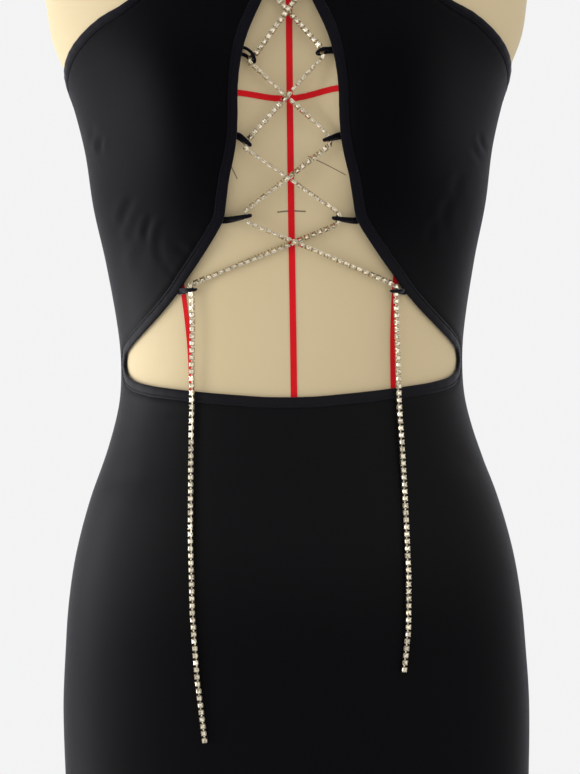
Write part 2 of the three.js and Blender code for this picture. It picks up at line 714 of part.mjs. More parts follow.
const SKIRT_ROWS = [HEM_HEIGHT, 618, 654, 692, 730, 766, 800, 830, 860, 890, 918, 945, 969, 990];
const FRONT_TOP = 1449;
const CHEST_ROWS = [1229, 1234, 1239, 1330, FRONT_TOP];
const frontHeights = rowHeights([...SKIRT_ROWS, ...CHEST_ROWS], [keyholeSeam, armholeSeam], FRONT_TOP);
const frontMiddle = (height) => {
  if (height > keyholeTop - 1e-6 || height < keyholeFoot + 1e-6) return 0;
  return turnAt(height > keyholeSeam[widestAt].height ? keyholeAbove : keyholeBelow, height);
};
const frontSide = (height) => (height > sideTop ? turnAt(armholeSeam, height) : Math.PI / 2);
const facingAhead = (turn) => turn;
const frontSolid = toSolid(clothPanel(frontHeights, frontMiddle, frontSide, facingAhead));
addNode("dress_front", fromSolid(frontSolid.subtract(neckRoom)), BLACK, 0.7);

const BACK_ROWS = [...SKIRT_ROWS, 904, 932, 957, 980, 1004, 1016, 1030, 1044, 1064, 1084, 1104];
const facingBack = (turn) => Math.PI - turn;
const backSide = () => Math.PI / 2;
const backHeights = rowHeights(BACK_ROWS, [backSeam], sideTop - 1.5);
const backMiddle = (height) => (height < backFoot + 1e-6 ? 0 : Math.PI - turnAt(backSeam, height));
addNode("dress_back", clothPanel(backHeights, backMiddle, backSide, facingBack), BLACK, 0.7);

// A route of straight steps, walked corner by corner.
class Route extends THREE.Curve {
  constructor(corners) {
    super();
    this.corners = corners;
  }

  getPoint(t) {
    const steps = this.corners.length - 1;
    const at = clamp(t * steps, 0, steps);
    const i = Math.min(Math.floor(at), steps - 1);
    return this.corners[i].clone().lerp(this.corners[i + 1], at - i);
  }

  getPointAt(t) {
    return this.getPoint(t);
  }

  getTangentAt(t) {
    return this.getTangent(t);
  }
}

function roundSection(width, sides) {
  const section = new THREE.Shape();
  for (let k = 0; k < sides; k += 1) {
    const angle = (2 * Math.PI * k) / sides;
    const point = [(width / 2) * Math.cos(angle), (width / 2) * Math.sin(angle)];
    if (k === 0) section.moveTo(...point);
    else section.lineTo(...point);
  }
  section.closePath();
  return section;
}

function cordAlong(path, steps, width, sides) {
  const settings = { steps, extrudePath: path, bevelEnabled: false };
  return new THREE.ExtrudeGeometry(roundSection(width, sides), settings);
}

// The turn at which the front of the body has a given distance across.
function turnAcross(x, height) {
  const halfWidth = readTable(SECTIONS, "height", "halfWidth", height);
  return Math.sign(x) * Math.asin(clamp(Math.abs(x) / halfWidth, 0, 1) ** (1 / SECTION_POWER));
}

// Loops: each is a bent cord that holds the lace in its bight.
const holders = {};
for (const loop of LOOPS) {
  const sign = loop.side === "left" ? -1 : 1;
  const rootTurn = sign * turnAt(keyholeUpperEdge, loop.rootHeight);
  const root = overBody(rootTurn, loop.rootHeight, 0, FORM_CUPS);
  const tipTurn = turnAcross(loop.tipX, loop.tipHeight);
  const tip = overBody(tipTurn, loop.tipHeight, 0, FORM_CUPS);
  const out = bodyNormal(tipTurn, loop.tipHeight, FORM_CUPS);
  const axis = tip.clone().sub(root);
  axis.addScaledVector(out, -axis.dot(out)).normalize();
  root.addScaledVector(axis, ROOT_INSET);
  const bend = (LACE_WIDTH + LOOP_CORD) / 2 + 0.5;
  const middle = tip.clone().addScaledVector(axis, -bend).addScaledVector(out, LACE_LIFT);
  const corner = (along, outward) =>
    middle.clone().addScaledVector(axis, along * bend).addScaledVector(out, outward * bend);
  const bight = [
    root.clone().addScaledVector(out, ROOT_LIFT),
    corner(0, -1),
    corner(0.71, -0.71),
    corner(1, 0),
    corner(0.71, 0.71),
    corner(0, 1),
    root.clone().addScaledVector(out, ROOT_LIFT + ROOT_SPREAD),
  ];
  const path = new THREE.CatmullRomCurve3(bight, false, "centripetal");
  const name = "loop_" + loop.pair + "_" + loop.side;
  addNode(name, cordAlong(path, LOOP_STEPS, LOOP_CORD, LOOP_SIDES), BLACK_TRIM, 0.6);
  const through = out.clone().cross(axis).normalize();
  if (through.z > 0) through.negate();
  holders[loop.pair + loop.side] = { middle, through };
}

// Lace: the corners of one strand, from the middle at the top through its loops to its free end.
// A strand runs over or under the other one at each of the four crossings.
const formAhead = (x, height) => overBody(turnAcross(x, height), height, 0, FORM_CUPS).y;

// Where two straight legs cross in the front view, as a share of the first leg.
function crossShare(from, to, otherFrom, otherTo) {
  const dx = to.x - from.x;
  const dz = to.z - from.z;
  const ox = otherTo.x - otherFrom.x;
  const oz = otherTo.z - otherFrom.z;
  return ((otherFrom.x - from.x) * oz - (otherFrom.z - from.z) * ox) / (dx * oz - dz * ox);
}

// The two ends of the straight run of a strand through one loop.
function throughLoop(pair, side) {
  const { middle, through } = holders[pair + side];
  return {
    enter: middle.clone().addScaledVector(through, -LACE_RUN),
    leave: middle.clone().addScaledVector(through, LACE_RUN),
  };
}

const otherSide = (side) => (side === "left" ? "right" : "left");

function strandCorners(sides, hanging, over) {
  const first = throughLoop(1, sides[0]);
  const start = first.enter.clone().setX(Math.sign(first.enter.x) * (SEAM_GAP + 0.1));
  const corners = [start, first.enter, first.leave];
  for (let i = 1; i < sides.length; i += 1) {
    const from = throughLoop(i, sides[i - 1]).leave;
    const to = throughLoop(i + 1, sides[i]).enter;
    const otherFrom = throughLoop(i, otherSide(sides[i - 1])).leave;
    const otherTo = throughLoop(i + 1, otherSide(sides[i])).enter;
    const share = crossShare(from, to, otherFrom, otherTo);
    const half = CROSS_RUN / from.distanceTo(to);
    for (const at of [share - half, share + half]) {
      const cross = from.clone().lerp(to, at);
      const under = Math.min(cross.y + LACE_WIDTH / 2, formAhead(cross.x, cross.z) - LEAST_LIFT);
      cross.y = over[i - 1] ? under - LACE_WIDTH - CROSS_GAP : under;
      corners.push(cross);
    }
    corners.push(to, throughLoop(i + 1, sides[i]).leave);
  }
  for (const at of hanging) {
    corners.push(overBody(turnAcross(at.x, at.height), at.height, at.lift));
  }
  return corners;
}

// Cuts the long stretches between the loops into even steps.
function withSteps(corners, hangingCount) {
  const stepped = [corners[0]];
  const lastLaced = corners.length - hangingCount;
  for (let i = 1; i < corners.length; i += 1) {
    const from = corners[i - 1];
    const to = corners[i];
    const cuts = i < lastLaced ? Math.max(1, Math.round(from.distanceTo(to) / LONGEST_STEP)) : 2;
    for (let k = 1; k <= cuts; k += 1) {
      const at = from.clone().lerp(to, k / cuts);
      if (i < lastLaced) at.y = Math.min(at.y, formAhead(at.x, at.z) - LEAST_LIFT);
      stepped.push(at);
    }
  }
  return stepped;
}

const STRANDS = [
  { name: "lace_a", firstSide: "right", hanging: HANGING.a, over: [true, false, false, true] },
  { name: "lace_b", firstSide: "left", hanging: HANGING.b, over: [false, true, true, false] },
];
for (const strand of STRANDS) {
  const sides = [0, 1, 2, 3, 4].map((i) => (i % 2 ? otherSide(strand.firstSide) : strand.firstSide));
  const corners = strandCorners(sides, strand.hanging, strand.over);
  const route = new Route(withSteps(corners, strand.hanging.length));
  const steps = route.corners.length - 1;
  addNode(strand.name, cordAlong(route, steps, LACE_WIDTH, LACE_SIDES), SILVER, 0.25, 0.9);
}

export default group;
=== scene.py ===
# %% [markdown]
# # A laced keyhole dress on its dress form
# The CAD model is loaded first, as a fixed frame: every size and place below is the same as there.
# All lengths in this lesson are worked out in millimetres and become metres when a mesh is made.

# %% Load the frame
import math
import random
import bpy
import numpy as np
from mathutils import Matrix, Vector


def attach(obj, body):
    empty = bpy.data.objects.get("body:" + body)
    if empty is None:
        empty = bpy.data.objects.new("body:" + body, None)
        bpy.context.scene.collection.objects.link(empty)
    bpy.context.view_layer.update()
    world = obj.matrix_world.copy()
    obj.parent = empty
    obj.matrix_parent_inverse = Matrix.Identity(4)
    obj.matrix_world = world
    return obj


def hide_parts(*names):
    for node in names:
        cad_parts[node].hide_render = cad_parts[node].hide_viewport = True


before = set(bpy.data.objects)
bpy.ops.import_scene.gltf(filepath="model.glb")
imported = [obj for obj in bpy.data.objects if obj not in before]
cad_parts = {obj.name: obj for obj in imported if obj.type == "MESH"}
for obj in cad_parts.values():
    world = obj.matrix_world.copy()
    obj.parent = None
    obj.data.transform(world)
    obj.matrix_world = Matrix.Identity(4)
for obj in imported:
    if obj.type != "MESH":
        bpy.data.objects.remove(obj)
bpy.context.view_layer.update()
MM = 0.001
BODY = "root"

# %% [markdown]
# ## Helpers for meshes
# Cloth and tape are thin sheets whose points come from the shape of the body, so they are made in
# mesh code. One helper turns points and faces into an object; another selects nothing, because the
# loaded CAD nodes are still selected and an operator would act on them too.

# %% Mesh helpers
def select_nothing():
    if bpy.context.object and bpy.context.object.mode != "OBJECT":
        bpy.ops.object.mode_set(mode="OBJECT")
    bpy.ops.object.select_all(action="DESELECT")


def select_only(piece):
    select_nothing()
    piece.select_set(True)
    bpy.context.view_layer.objects.active = piece


def piece_from(name, points, faces, uvs=None):
    mesh = bpy.data.meshes.new(name)
    mesh.from_pydata([tuple(float(v) * MM for v in point) for point in points], [], faces)
    mesh.update()
    if uvs is not None:
        layer = mesh.uv_layers.new(name="cloth")
        corners = np.empty(len(mesh.loops), dtype=np.int32)
        mesh.loops.foreach_get("vertex_index", corners)
        layer.data.foreach_set("uv", (np.asarray(uvs, float)[corners] * MM).ravel())
    piece = bpy.data.objects.new(name, mesh)
    bpy.context.collection.objects.link(piece)
    return piece


def run_lengths(points):
    """Distance walked along a line, at each of its points."""
    steps = np.linalg.norm(np.diff(points, axis=0), axis=1)
    return np.concatenate([[0], np.cumsum(steps)])


def apply_modifier(piece, kind, **settings):
    select_only(piece)
    modifier = piece.modifiers.new(kind.title(), kind)
    for key, value in settings.items():
        setattr(modifier, key, value)
    bpy.ops.object.modifier_apply(modifier=modifier.name)


def smooth(piece, degrees=40):
    select_only(piece)
    bpy.ops.object.shade_smooth_by_angle(angle=math.radians(degrees))


def finish_piece(piece, material, slot, *nodes):
    piece.data.materials.clear()
    piece.data.materials.append(material)
    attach(piece, BODY)
    if nodes:
        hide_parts(*nodes)
    print(piece.name, len(piece.data.polygons), "faces")


# %% [markdown]
# ## The shape of the body
# A dress form is a stack of rounded sections. The table holds the half width and the depth in front
# and behind at each height, and a smooth curve is read through each column. Two soft cups are added
# in front. The cloth uses wider cups than the form, because stretched jersey bridges the hollows.

# %% Sizes of the body
SIDE_SEAM_Y = 4.0
SECTION_POWER = 2 / 2.25
BUST_HEIGHT = 1216.0
HEM_HEIGHT = 585.0
TORSO_BOTTOM = 735.0
TORSO_TOP = 1462.0
ARM_PLANE = 172.0

SECTION_COLUMNS = ("height", "half_width", "front", "back")
SECTIONS = np.array([
    (585, 148.5, 84, 88),
    (640, 153, 89, 94),
    (706, 157.4, 93, 101),
    (755, 159.7, 96, 107),
    (804, 160.6, 99, 114),
    (841, 158.7, 101, 118),
    (876, 155.9, 103, 117),
    (910, 150.4, 103, 112),
    (947, 140.3, 101, 102),
    (981, 127.8, 97, 91),
    (1013, 119.1, 93, 82),
    (1038, 117.1, 91, 78),
    (1065, 118.7, 91, 77),
    (1113, 126.6, 93, 81),
    (1152, 134.9, 95, 87),
    (1194, 140.9, 98, 94),
    (1239, 152.8, 97, 99),
    (1268, 164, 91, 101),
    (1296, 168.6, 84, 102),
    (1350, 177, 64, 97),
    (1390, 177.5, 45, 84),
    (1410, 165, 32, 75),
    (1428, 135, 20, 66),
    (1445, 92, 8, 56),
    (1462, 40, -6, 40),
], float)
FORM_CUPS = {"across": 86, "rise": 56, "spread": 54, "above": 80, "below": 60}
CLOTH_CUPS = {"across": 86, "rise": 57, "spread": 62, "above": 84, "below": 72}


# %% Reading the body
def read_column(name, at):
    keys = SECTIONS[:, 0]
    values = SECTIONS[:, SECTION_COLUMNS.index(name)]
    last = len(keys) - 1
    i = np.clip(np.searchsorted(keys, at) - 1, 0, last - 1)
    low = np.maximum(np.arange(last + 1) - 1, 0)
    high = np.minimum(np.arange(last + 1) + 1, last)
    slopes = (values[high] - values[low]) / (keys[high] - keys[low])
    span = keys[i + 1] - keys[i]
    t = np.clip((at - keys[i]) / span, 0, 1)
    blend = t * t * (3 - 2 * t)
    lead = t * (1 - t) ** 2 * span * slopes[i]
    tail = t * t * (t - 1) * span * slopes[i + 1]
    return values[i] + (values[i + 1] - values[i]) * blend + lead + tail


def body_point(turn, height, cups=CLOTH_CUPS):
    turn, height = np.broadcast_arrays(np.asarray(turn, float), np.asarray(height, float))
    side, ahead = np.sin(turn), np.cos(turn)
    x = read_column("half_width", height) * np.sign(side) * np.abs(side) ** SECTION_POWER
    front = read_column("front", height) + SIDE_SEAM_Y
    back = read_column("back", height) - SIDE_SEAM_Y
    depth = np.where(ahead > 0, front, back)
    y = SIDE_SEAM_Y - np.sign(ahead) * np.abs(ahead) ** SECTION_POWER * depth
    fall = np.where(height > BUST_HEIGHT, cups["above"], cups["below"])
    upright = np.exp(-(((height - BUST_HEIGHT) / fall) ** 2))
    sideways = sum(np.exp(-(((x - s * cups["across"]) / cups["spread"]) ** 2)) for s in (1, -1))
    y = y - np.where(ahead > 0, cups["rise"] * upright * sideways * ahead * ahead, 0)
    return np.stack([x, y, height], axis=-1)


def body_normal(turn, height, cups=CLOTH_CUPS):
    turn, height = np.broadcast_arrays(np.asarray(turn, float), np.asarray(height, float))
    around = body_point(turn + 0.01, height, cups) - body_point(turn - 0.01, height, cups)
    high = np.minimum(height + 1.5, TORSO_TOP)
    low = np.maximum(height - 1.5, HEM_HEIGHT)
    up = body_point(turn, high, cups) - body_point(turn, low, cups)
    out = np.cross(around, up)
    return out / np.linalg.norm(out, axis=-1, keepdims=True)


def over_body(turn, height, lift, cups=CLOTH_CUPS):
    return body_point(turn, height, cups) + body_normal(turn, height, cups) * np.asarray(lift)[..., None]


def turn_across(x, height):
    share = np.clip(np.abs(x) / read_column("half_width", height), 0, 1)
    return np.sign(x) * np.arcsin(share ** (1 / SECTION_POWER))


print("waist half width", float(read_column("half_width", 1038.0)), "mm")

# %% [markdown]
# ## The cut of the dress
# The edges of the keyhole and of the armholes are short tables of turn (degrees round the body from
# the middle of the front) and height. A smooth curve goes through each, and the seam of the binding
# is the same curve moved into the cloth by the binding's width.

# %% Edges of the cut
CLOTH_GAP = 1.1
WALL = 1.2
BINDING_GAP = 0.9
BINDING_WALL = 1.8
BINDING_WIDTH = 7.0
SEAM_GAP = 0.3

KEYHOLE_UPPER = [
    (1306.0, 0), (1304.4, 1.3), (1299.8, 2.4), (1292.0, 3.4), (1282.4, 4.3), (1270.2, 6.0), (1256.6, 7.9),
    (1244.7, 9.3), (1231.7, 10.4), (1218.4, 11.1), (1203.4, 11.5), (1191.2, 12.0), (1179.0, 12.9),
    (1164.9, 14.4), (1148.9, 15.7), (1137.9, 16.8), (1131.4, 18.4), (1119.7, 22.3), (1106.6, 27.4),
    (1096.8, 31.8), (1089.5, 35.1), (1079.7, 41.0), (1071.7, 47.0), (1061.8, 56.4), (1053.8, 66.0),
    (1048.5, 72.4), (1042.3, 75.2),
]
KEYHOLE_LOWER = [
    (1042.3, 75.2), (1036.7, 72.6), (1031.5, 65.5), (1027.0, 51.2), (1025.0, 41.5), (1023.0, 31.7),
    (1021.2, 22.5), (1019.6, 13.5), (1018.4, 6.5), (1018.0, 0),
]
ARMHOLE = [
    (1446.0, 38.0), (1432.0, 28.0), (1412.0, 23.0), (1388.0, 21.0), (1360.0, 20.8), (1330.0, 22.6),
    (1303.0, 27.5), (1283.8, 36.9), (1275.4, 46.5), (1264.4, 58.0), (1254.4, 69.3), (1243.8, 82.0),
    (1236.5, 90),
]
BACK_EDGE = [
    (1236.5, 90), (1222.0, 101), (1203.0, 112), (1180.0, 124), (1158.0, 136), (1142.0, 149),
    (1134.0, 164), (1132.0, 180),
]
TURN_SCALE = 1.9


def smooth_through(points, per_span=12, power=0.25):
    """A centripetal curve through points, as in the CAD source."""
    points = np.asarray(points, float)
    ends = [2 * points[0] - points[1]], [2 * points[-1] - points[-2]]
    padded = np.concatenate([ends[0], points, ends[1]])
    made = []
    for i in range(len(points) - 1):
        p0, p1, p2, p3 = padded[i:i + 4]
        d0, d1, d2 = (max(1e-4, float(np.sum((b - a) ** 2)) ** power)
                      for a, b in ((p0, p1), (p1, p2), (p2, p3)))
        start = ((p1 - p0) / d0 - (p2 - p0) / (d0 + d1) + (p2 - p1) / d1) * d1
        end = ((p2 - p1) / d1 - (p3 - p1) / (d1 + d2) + (p3 - p2) / d2) * d1
        for t in np.linspace(0, 1, per_span, endpoint=False):
            made.append((2 * t**3 - 3 * t**2 + 1) * p1 + (t**3 - 2 * t**2 + t) * start
                        + (3 * t**2 - 2 * t**3) * p2 + (t**3 - t**2) * end)
    made.append(points[-1])
    return np.array(made)


def edge_curve(rows):
    """Rows of turn (radians) and height, densely."""
    flat = smooth_through([(turn * TURN_SCALE, height) for height, turn in rows])
    return np.stack([np.radians(flat[:, 0] / TURN_SCALE), flat[:, 1]], axis=1)


def even_steps(curve, step):
    runs = run_lengths(body_point(curve[:, 0], curve[:, 1]))
    count = max(2, round(runs[-1] / step))
    want = np.linspace(0, runs[-1], count + 1)
    return np.stack([np.interp(want, runs, curve[:, k]) for k in (0, 1)], axis=1)


def shifted(curve, distance, closed=False):
    """The curve moved sideways over the body; distance is in mm, a number or one for each point."""
    turn, height = curve[:, 0], curve[:, 1]
    here = body_point(turn, height)
    if closed:
        along = np.roll(here, -1, axis=0) - np.roll(here, 1, axis=0)
    else:
        along = np.gradient(here, axis=0)
    along /= np.linalg.norm(along, axis=1, keepdims=True)
    aside = np.cross(body_normal(turn, height), along) * np.broadcast_to(distance, turn.shape)[:, None]
    around = (body_point(turn + 0.01, height) - here) / 0.01
    up = body_point(turn, height + 1) - here
    rr, ru, uu = (np.sum(a * b, axis=1) for a, b in ((around, around), (around, up), (up, up)))
    ar, au = np.sum(aside * around, axis=1), np.sum(aside * up, axis=1)
    det = rr * uu - ru * ru
    return np.stack([turn + (ar * uu - au * ru) / det, height + (au * rr - ar * ru) / det], axis=1)


EDGE_STEP = 3.0
keyhole_upper = edge_curve(KEYHOLE_UPPER)
half_keyhole = even_steps(np.concatenate([keyhole_upper, edge_curve(KEYHOLE_LOWER)[1:]]), EDGE_STEP)
mirror_keyhole = half_keyhole[::-1][1:-1] * (-1, 1)
whole_keyhole = np.concatenate([half_keyhole, mirror_keyhole])
half_edge = even_steps(np.concatenate([edge_curve(ARMHOLE), edge_curve(BACK_EDGE)[1:]]), EDGE_STEP)
mirror_edge = np.stack([2 * math.pi - half_edge[:, 0], half_edge[:, 1]], axis=1)[::-1][1:]
whole_edge = np.concatenate([half_edge, mirror_edge])
print("keyhole steps", len(whole_keyhole), "edge steps", len(whole_edge))

# %% [markdown]
# ## Camera
# The photograph was taken straight from the front with a long lens, level with the waist. The
# camera stands two metres away, rolled by three quarters of a degree as the picture is.

# %% Camera
CAMERA_DISTANCE = 2.0
CAMERA_HEIGHT = 1.025
CAMERA_ACROSS = -0.0014
PICTURE_ROLL = 0.78
PICTURE_HEIGHT = 774
METRES_PER_PIXEL = 0.00070

camera_data = bpy.data.cameras.new("camera")
camera_data.sensor_width = 36
camera_data.lens = 36 * CAMERA_DISTANCE / (METRES_PER_PIXEL * PICTURE_HEIGHT)
camera = bpy.data.objects.new("camera", camera_data)
camera.location = (CAMERA_ACROSS, -CAMERA_DISTANCE, CAMERA_HEIGHT)
camera.rotation_euler = (math.radians(90), math.radians(PICTURE_ROLL), 0)
bpy.context.collection.objects.link(camera)
bpy.context.scene.camera = camera
print("lens", round(camera_data.lens, 1), "mm")

# %% [markdown]
# ## Shader expressions
# A wrapped socket lets a finish be written as arithmetic: each operator adds one Math node. Colours
# go through Mix, and every other node comes from one method that takes its type and settings.

# %% Shader helper
class Finish:
    """One material and the nodes in it."""

    def __init__(self, name):
        self.material = bpy.data.materials.new(name)
        self.material.use_nodes = True
        self.tree = self.material.node_tree
        self.shader = self.tree.nodes["Principled BSDF"]

    def node(self, kind, settings=None, **sockets):
        made = self.tree.nodes.new(kind)
        for key, value in (settings or {}).items():
            setattr(made, key, value)
        for key, value in sockets.items():
            self.feed(made.inputs[key.replace("_", " ")], value)
        return made

    def feed(self, socket, value):
        if isinstance(value, Flow):
            self.tree.links.new(value.socket, socket)
        elif isinstance(value, bpy.types.NodeSocket):
            self.tree.links.new(value, socket)
        else:
            socket.default_value = value

    def flow(self, socket):
        return Flow(self, socket)

    def place(self, scale=(1, 1, 1), uv=False):
        source = self.node("ShaderNodeTexCoord")
        mapping = self.node("ShaderNodeMapping", Scale=scale)
        self.feed(mapping.inputs["Vector"], source.outputs["UV" if uv else "Object"])
        return mapping.outputs["Vector"]

    def noise(self, scale, detail=2.0, stretch=(1, 1, 1), uv=False):
        made = self.node("ShaderNodeTexNoise", Vector=self.place(stretch, uv), Scale=scale, Detail=detail)
        return self.flow(made.outputs["Fac"])

    def waves(self, scale, stretch=(1, 1, 1), direction="X", wobble=0.0, uv=True):
        made = self.node("ShaderNodeTexWave", {"bands_direction": direction},
                         Vector=self.place(stretch, uv), Scale=scale, Distortion=wobble)
        return self.flow(made.outputs["Fac"])

    def ramp(self, value, none_at, full_at):
        """A soft step from 0 at one value to 1 at another."""
        made = self.node("ShaderNodeMapRange", {"interpolation_type": "SMOOTHSTEP"}, Value=value,
                         From_Min=none_at, From_Max=full_at)
        return self.flow(made.outputs["Result"])

    def blend(self, amount, low, high):
        made = self.node("ShaderNodeMix", {"data_type": "RGBA"})
        self.feed(made.inputs[0], amount)
        self.feed(made.inputs[6], (*low, 1) if isinstance(low, tuple) else low)
        self.feed(made.inputs[7], (*high, 1) if isinstance(high, tuple) else high)
        return self.flow(made.outputs[2])

    def bump(self, height, distance, strength=1.0):
        made = self.node("ShaderNodeBump", Height=height, Distance=distance, Strength=strength)
        self.feed(self.shader.inputs["Normal"], made.outputs["Normal"])

    def set(self, **sockets):
        for key, value in sockets.items():
            self.feed(self.shader.inputs[key.replace("_", " ")], value)


class Flow:
    """A socket that does arithmetic."""

    def __init__(self, finish, socket):
        self.finish = finish
        self.socket = socket

    def math(self, operation, first, second):
        made = self.finish.node("ShaderNodeMath", {"operation": operation})
        self.finish.feed(made.inputs[0], first)
        self.finish.feed(made.inputs[1], second)
        return Flow(self.finish, made.outputs[0])

    def __add__(self, other):
        return self.math("ADD", self, other)

    __radd__ = __add__

    def __mul__(self, other):
        return self.math("MULTIPLY", self, other)

    __rmul__ = __mul__


# %% [markdown]
# ## Black stretch jersey
# The dress is a smooth, dense knit: nearly black, matte, with a soft sheen where light grazes it.
# The knit shows as fine upright ribs, made from waves along the cloth's own UV map, and a broad
# faint mottle keeps the black from looking flat. A thin coat adds gloss by height: there is none over
# the bust, most from the waist to the hips, and less over the thighs. Its heights are in metres.

# %% Jersey finishes
DULL_HEIGHT, GLOSSY_HEIGHT = 1.16, 1.06
THIGH_HEIGHT, HIP_HEIGHT = 0.84, 0.94
SKIRT_GLOSS = 0.05
HIP_GLOSS = 0.075
RIB_DEPTH = 0.00005


def jersey(name, colour, rough=0.50, sheen=0.12):
    finish = Finish(name)
    mottle = finish.noise(14.0, 3.0)
    lint = finish.noise(900.0, 1.0)
    ribs = finish.waves(1250.0, direction="X")
    courses = finish.waves(900.0, direction="Y")
    light = tuple(1.7 * c for c in colour)
    height = finish.node("ShaderNodeSeparateXYZ", Vector=finish.place()).outputs["Z"]
    below_bust = finish.ramp(height, DULL_HEIGHT, GLOSSY_HEIGHT)
    above_thigh = finish.ramp(height, THIGH_HEIGHT, HIP_HEIGHT)
    gloss = below_bust * (above_thigh * HIP_GLOSS + SKIRT_GLOSS)
    finish.set(
        Base_Color=finish.blend(mottle * 0.6 + lint * 0.25, colour, light),
        Roughness=rough + mottle * 0.10,
        Specular_IOR_Level=0.024,
        Coat_Weight=gloss,
        Coat_Roughness=0.5,
        Sheen_Weight=sheen,
        Sheen_Roughness=0.30,
        Sheen_Tint=(0.86, 0.88, 1.0, 1),
    )
    finish.bump(ribs * 0.6 + courses * 0.4, RIB_DEPTH, 0.5)
    return finish.material


black_jersey = jersey("black stretch jersey", (0.0008, 0.0007, 0.0011))
# The binding's black is lifted well above the dress jersey's: painted sheen, standing in for the light its
# folded face catches.
binding_jersey = jersey("folded jersey binding", (0.0032, 0.0029, 0.0044), rough=0.46, sheen=0.34)
thread_black = jersey("black sewing thread", (0.0035, 0.0035, 0.0045))
print("jersey finishes made")

# %% [markdown]
# ## Cream cotton cover, tape, chain and stand finishes
# The form has a tight cotton cover with a fine plain weave. The style tapes are narrow woven tape
# in red. The chain is silver plate with clear stones backed by foil, so both are made as metal.

# %% Other finishes
def cotton(name, colour):
    finish = Finish(name)
    mottle = finish.noise(9.0, 4.0)
    threads = finish.noise(420.0, 2.0, stretch=(1, 1, 0.35))
    slubs = finish.noise(420.0, 2.0, stretch=(0.35, 0.35, 1))
    deep = tuple(c * k for c, k in zip(colour, (0.90, 0.87, 0.80)))
    finish.set(
        Base_Color=finish.blend(mottle, deep, colour),
        Roughness=0.78 + threads * 0.1,
        Specular_IOR_Level=0.3,
        Sheen_Weight=0.08,
        Sheen_Roughness=0.5,
    )
    finish.bump(threads + slubs, 0.00012, 0.35)
    return finish.material


def tape(name, colour):
    finish = Finish(name)
    ribs = finish.waves(800.0, direction="Y")
    wear = finish.noise(60.0, 2.0)
    deep = tuple(c * 0.72 for c in colour)
    finish.set(Base_Color=finish.blend(wear, deep, colour), Roughness=0.6 + wear * 0.2,
               Specular_IOR_Level=0.12)
    finish.bump(ribs, 0.00008, 0.6)
    return finish.material


def metal(name, colour, dark, rough, glint=900.0):
    """Metal with small bright and dull spots painted into its colour: painted glints and painted dark
    reflections, as the stones and plate of a chain sparkle.
    """
    finish = Finish(name)
    scuffs = finish.noise(glint, 2.0)
    # The Voronoi cells and the scuff noise make the painted glints: bright and dark spots mixed into the
    # colour.
    cells = finish.node("ShaderNodeTexVoronoi", Vector=finish.place(), Scale=glint * 0.9)
    painted_glint_cells = finish.flow(cells.outputs["Distance"])
    painted_glint_mask = finish.node("ShaderNodeMapRange", Value=painted_glint_cells * 0.7 + scuffs * 0.9, From_Min=0.50, From_Max=0.95)
    finish.set(Base_Color=finish.blend(finish.flow(painted_glint_mask.outputs["Result"]), dark, colour), Metallic=1.0,
               Roughness=rough + scuffs * 0.12)
    return finish.material


def paint(name, colour, rough):
    finish = Finish(name)
    orange_peel = finish.noise(300.0, 2.0)
    scuffs = finish.noise(22.0, 5.0)
    pale = tuple(c * 1.8 for c in colour)
    finish.set(Base_Color=finish.blend(scuffs, colour, pale), Roughness=rough + scuffs * 0.15)
    finish.bump(orange_peel, 0.00015, 0.3)
    return finish.material


def wood(name, colour):
    finish = Finish(name)
    rings = finish.waves(26.0, stretch=(1, 0.25, 1), direction="X", wobble=5.0, uv=False)
    pores = finish.noise(240.0, 3.0, stretch=(1, 0.12, 1))
    deep = tuple(c * k for c, k in zip(colour, (0.55, 0.45, 0.35)))
    finish.set(Base_Color=finish.blend(rings * 0.6 + pores * 0.4, deep, colour),
               Roughness=0.34 + pores * 0.15, Coat_Weight=0.3)
    finish.bump(pores, 0.0001, 0.3)
    return finish.material


def pencil(name, colour):
    finish = Finish(name)
    grain = finish.noise(900.0, 2.0)
    pale = tuple(c * 2.0 for c in colour)
    finish.set(Base_Color=finish.blend(grain, colour, pale), Roughness=0.6 + grain * 0.2)
    return finish.material


cream_cotton = cotton("cream cotton cover", (0.60, 0.49, 0.305))
red_tape = tape("red style tape", (0.68, 0.006, 0.012))
silver_plate = metal("silver plate", (0.66, 0.59, 0.45), (0.25, 0.21, 0.15), 0.18)
clear_stone = metal("foiled clear stone", (0.94, 0.84, 0.65), (0.27, 0.235, 0.16), 0.04, 620.0)
black_paint = paint("black satin paint", (0.02, 0.02, 0.021), 0.38)
pale_wood = wood("varnished beech", (0.56, 0.34, 0.16))
graphite = pencil("soft pencil", (0.10, 0.075, 0.05))
print("finishes made", len(bpy.data.materials))

# %% [markdown]
# ## Loops
# Each loop is a thin rouleau cord, a folded tube of jersey, whose two ends are sewn side by side
# under the binding. The lace runs through the bight. The holder of each loop, its middle and the
# direction the lace runs through it, is worked out first, because the lace is made from them.

# %% Loop places
# Each row: pair, side, height of the root on the edge, then x and height of the tip.
LOOPS = [
    (1, "left", 1287.0, -5.8, 1288.4),
    (1, "right", 1287.0, 5.8, 1288.4),
    (2, "left", 1247.0, -24.2, 1238.6),
    (2, "right", 1246.8, 21.2, 1243.6),
    (3, "left", 1191.8, -27.2, 1186.2),
    (3, "right", 1190.8, 25.0, 1188.8),
    (4, "left", 1137.2, -25.8, 1140.4),
    (4, "right", 1135.8, 28.5, 1138.0),
    (5, "left", 1090.6, -61.4, 1091.6),
    (5, "right", 1088.4, 65.0, 1088.8),
]
LOOP_CORD = 2.2
ROOT_LIFT = 2.3
LACE_WIDTH = 4.2
LACE_LIFT = 5.9
LACE_RUN = 3.8
LEAST_LIFT = 2.9
CROSS_RUN = 3.5
CROSS_GAP = 1.3
LACE_PLAY = 0.5


def keyhole_turn(height):
    order = np.argsort(keyhole_upper[:, 1])
    return float(np.interp(height, keyhole_upper[order, 1], keyhole_upper[order, 0]))


def unit(vector):
    return vector / np.linalg.norm(vector)


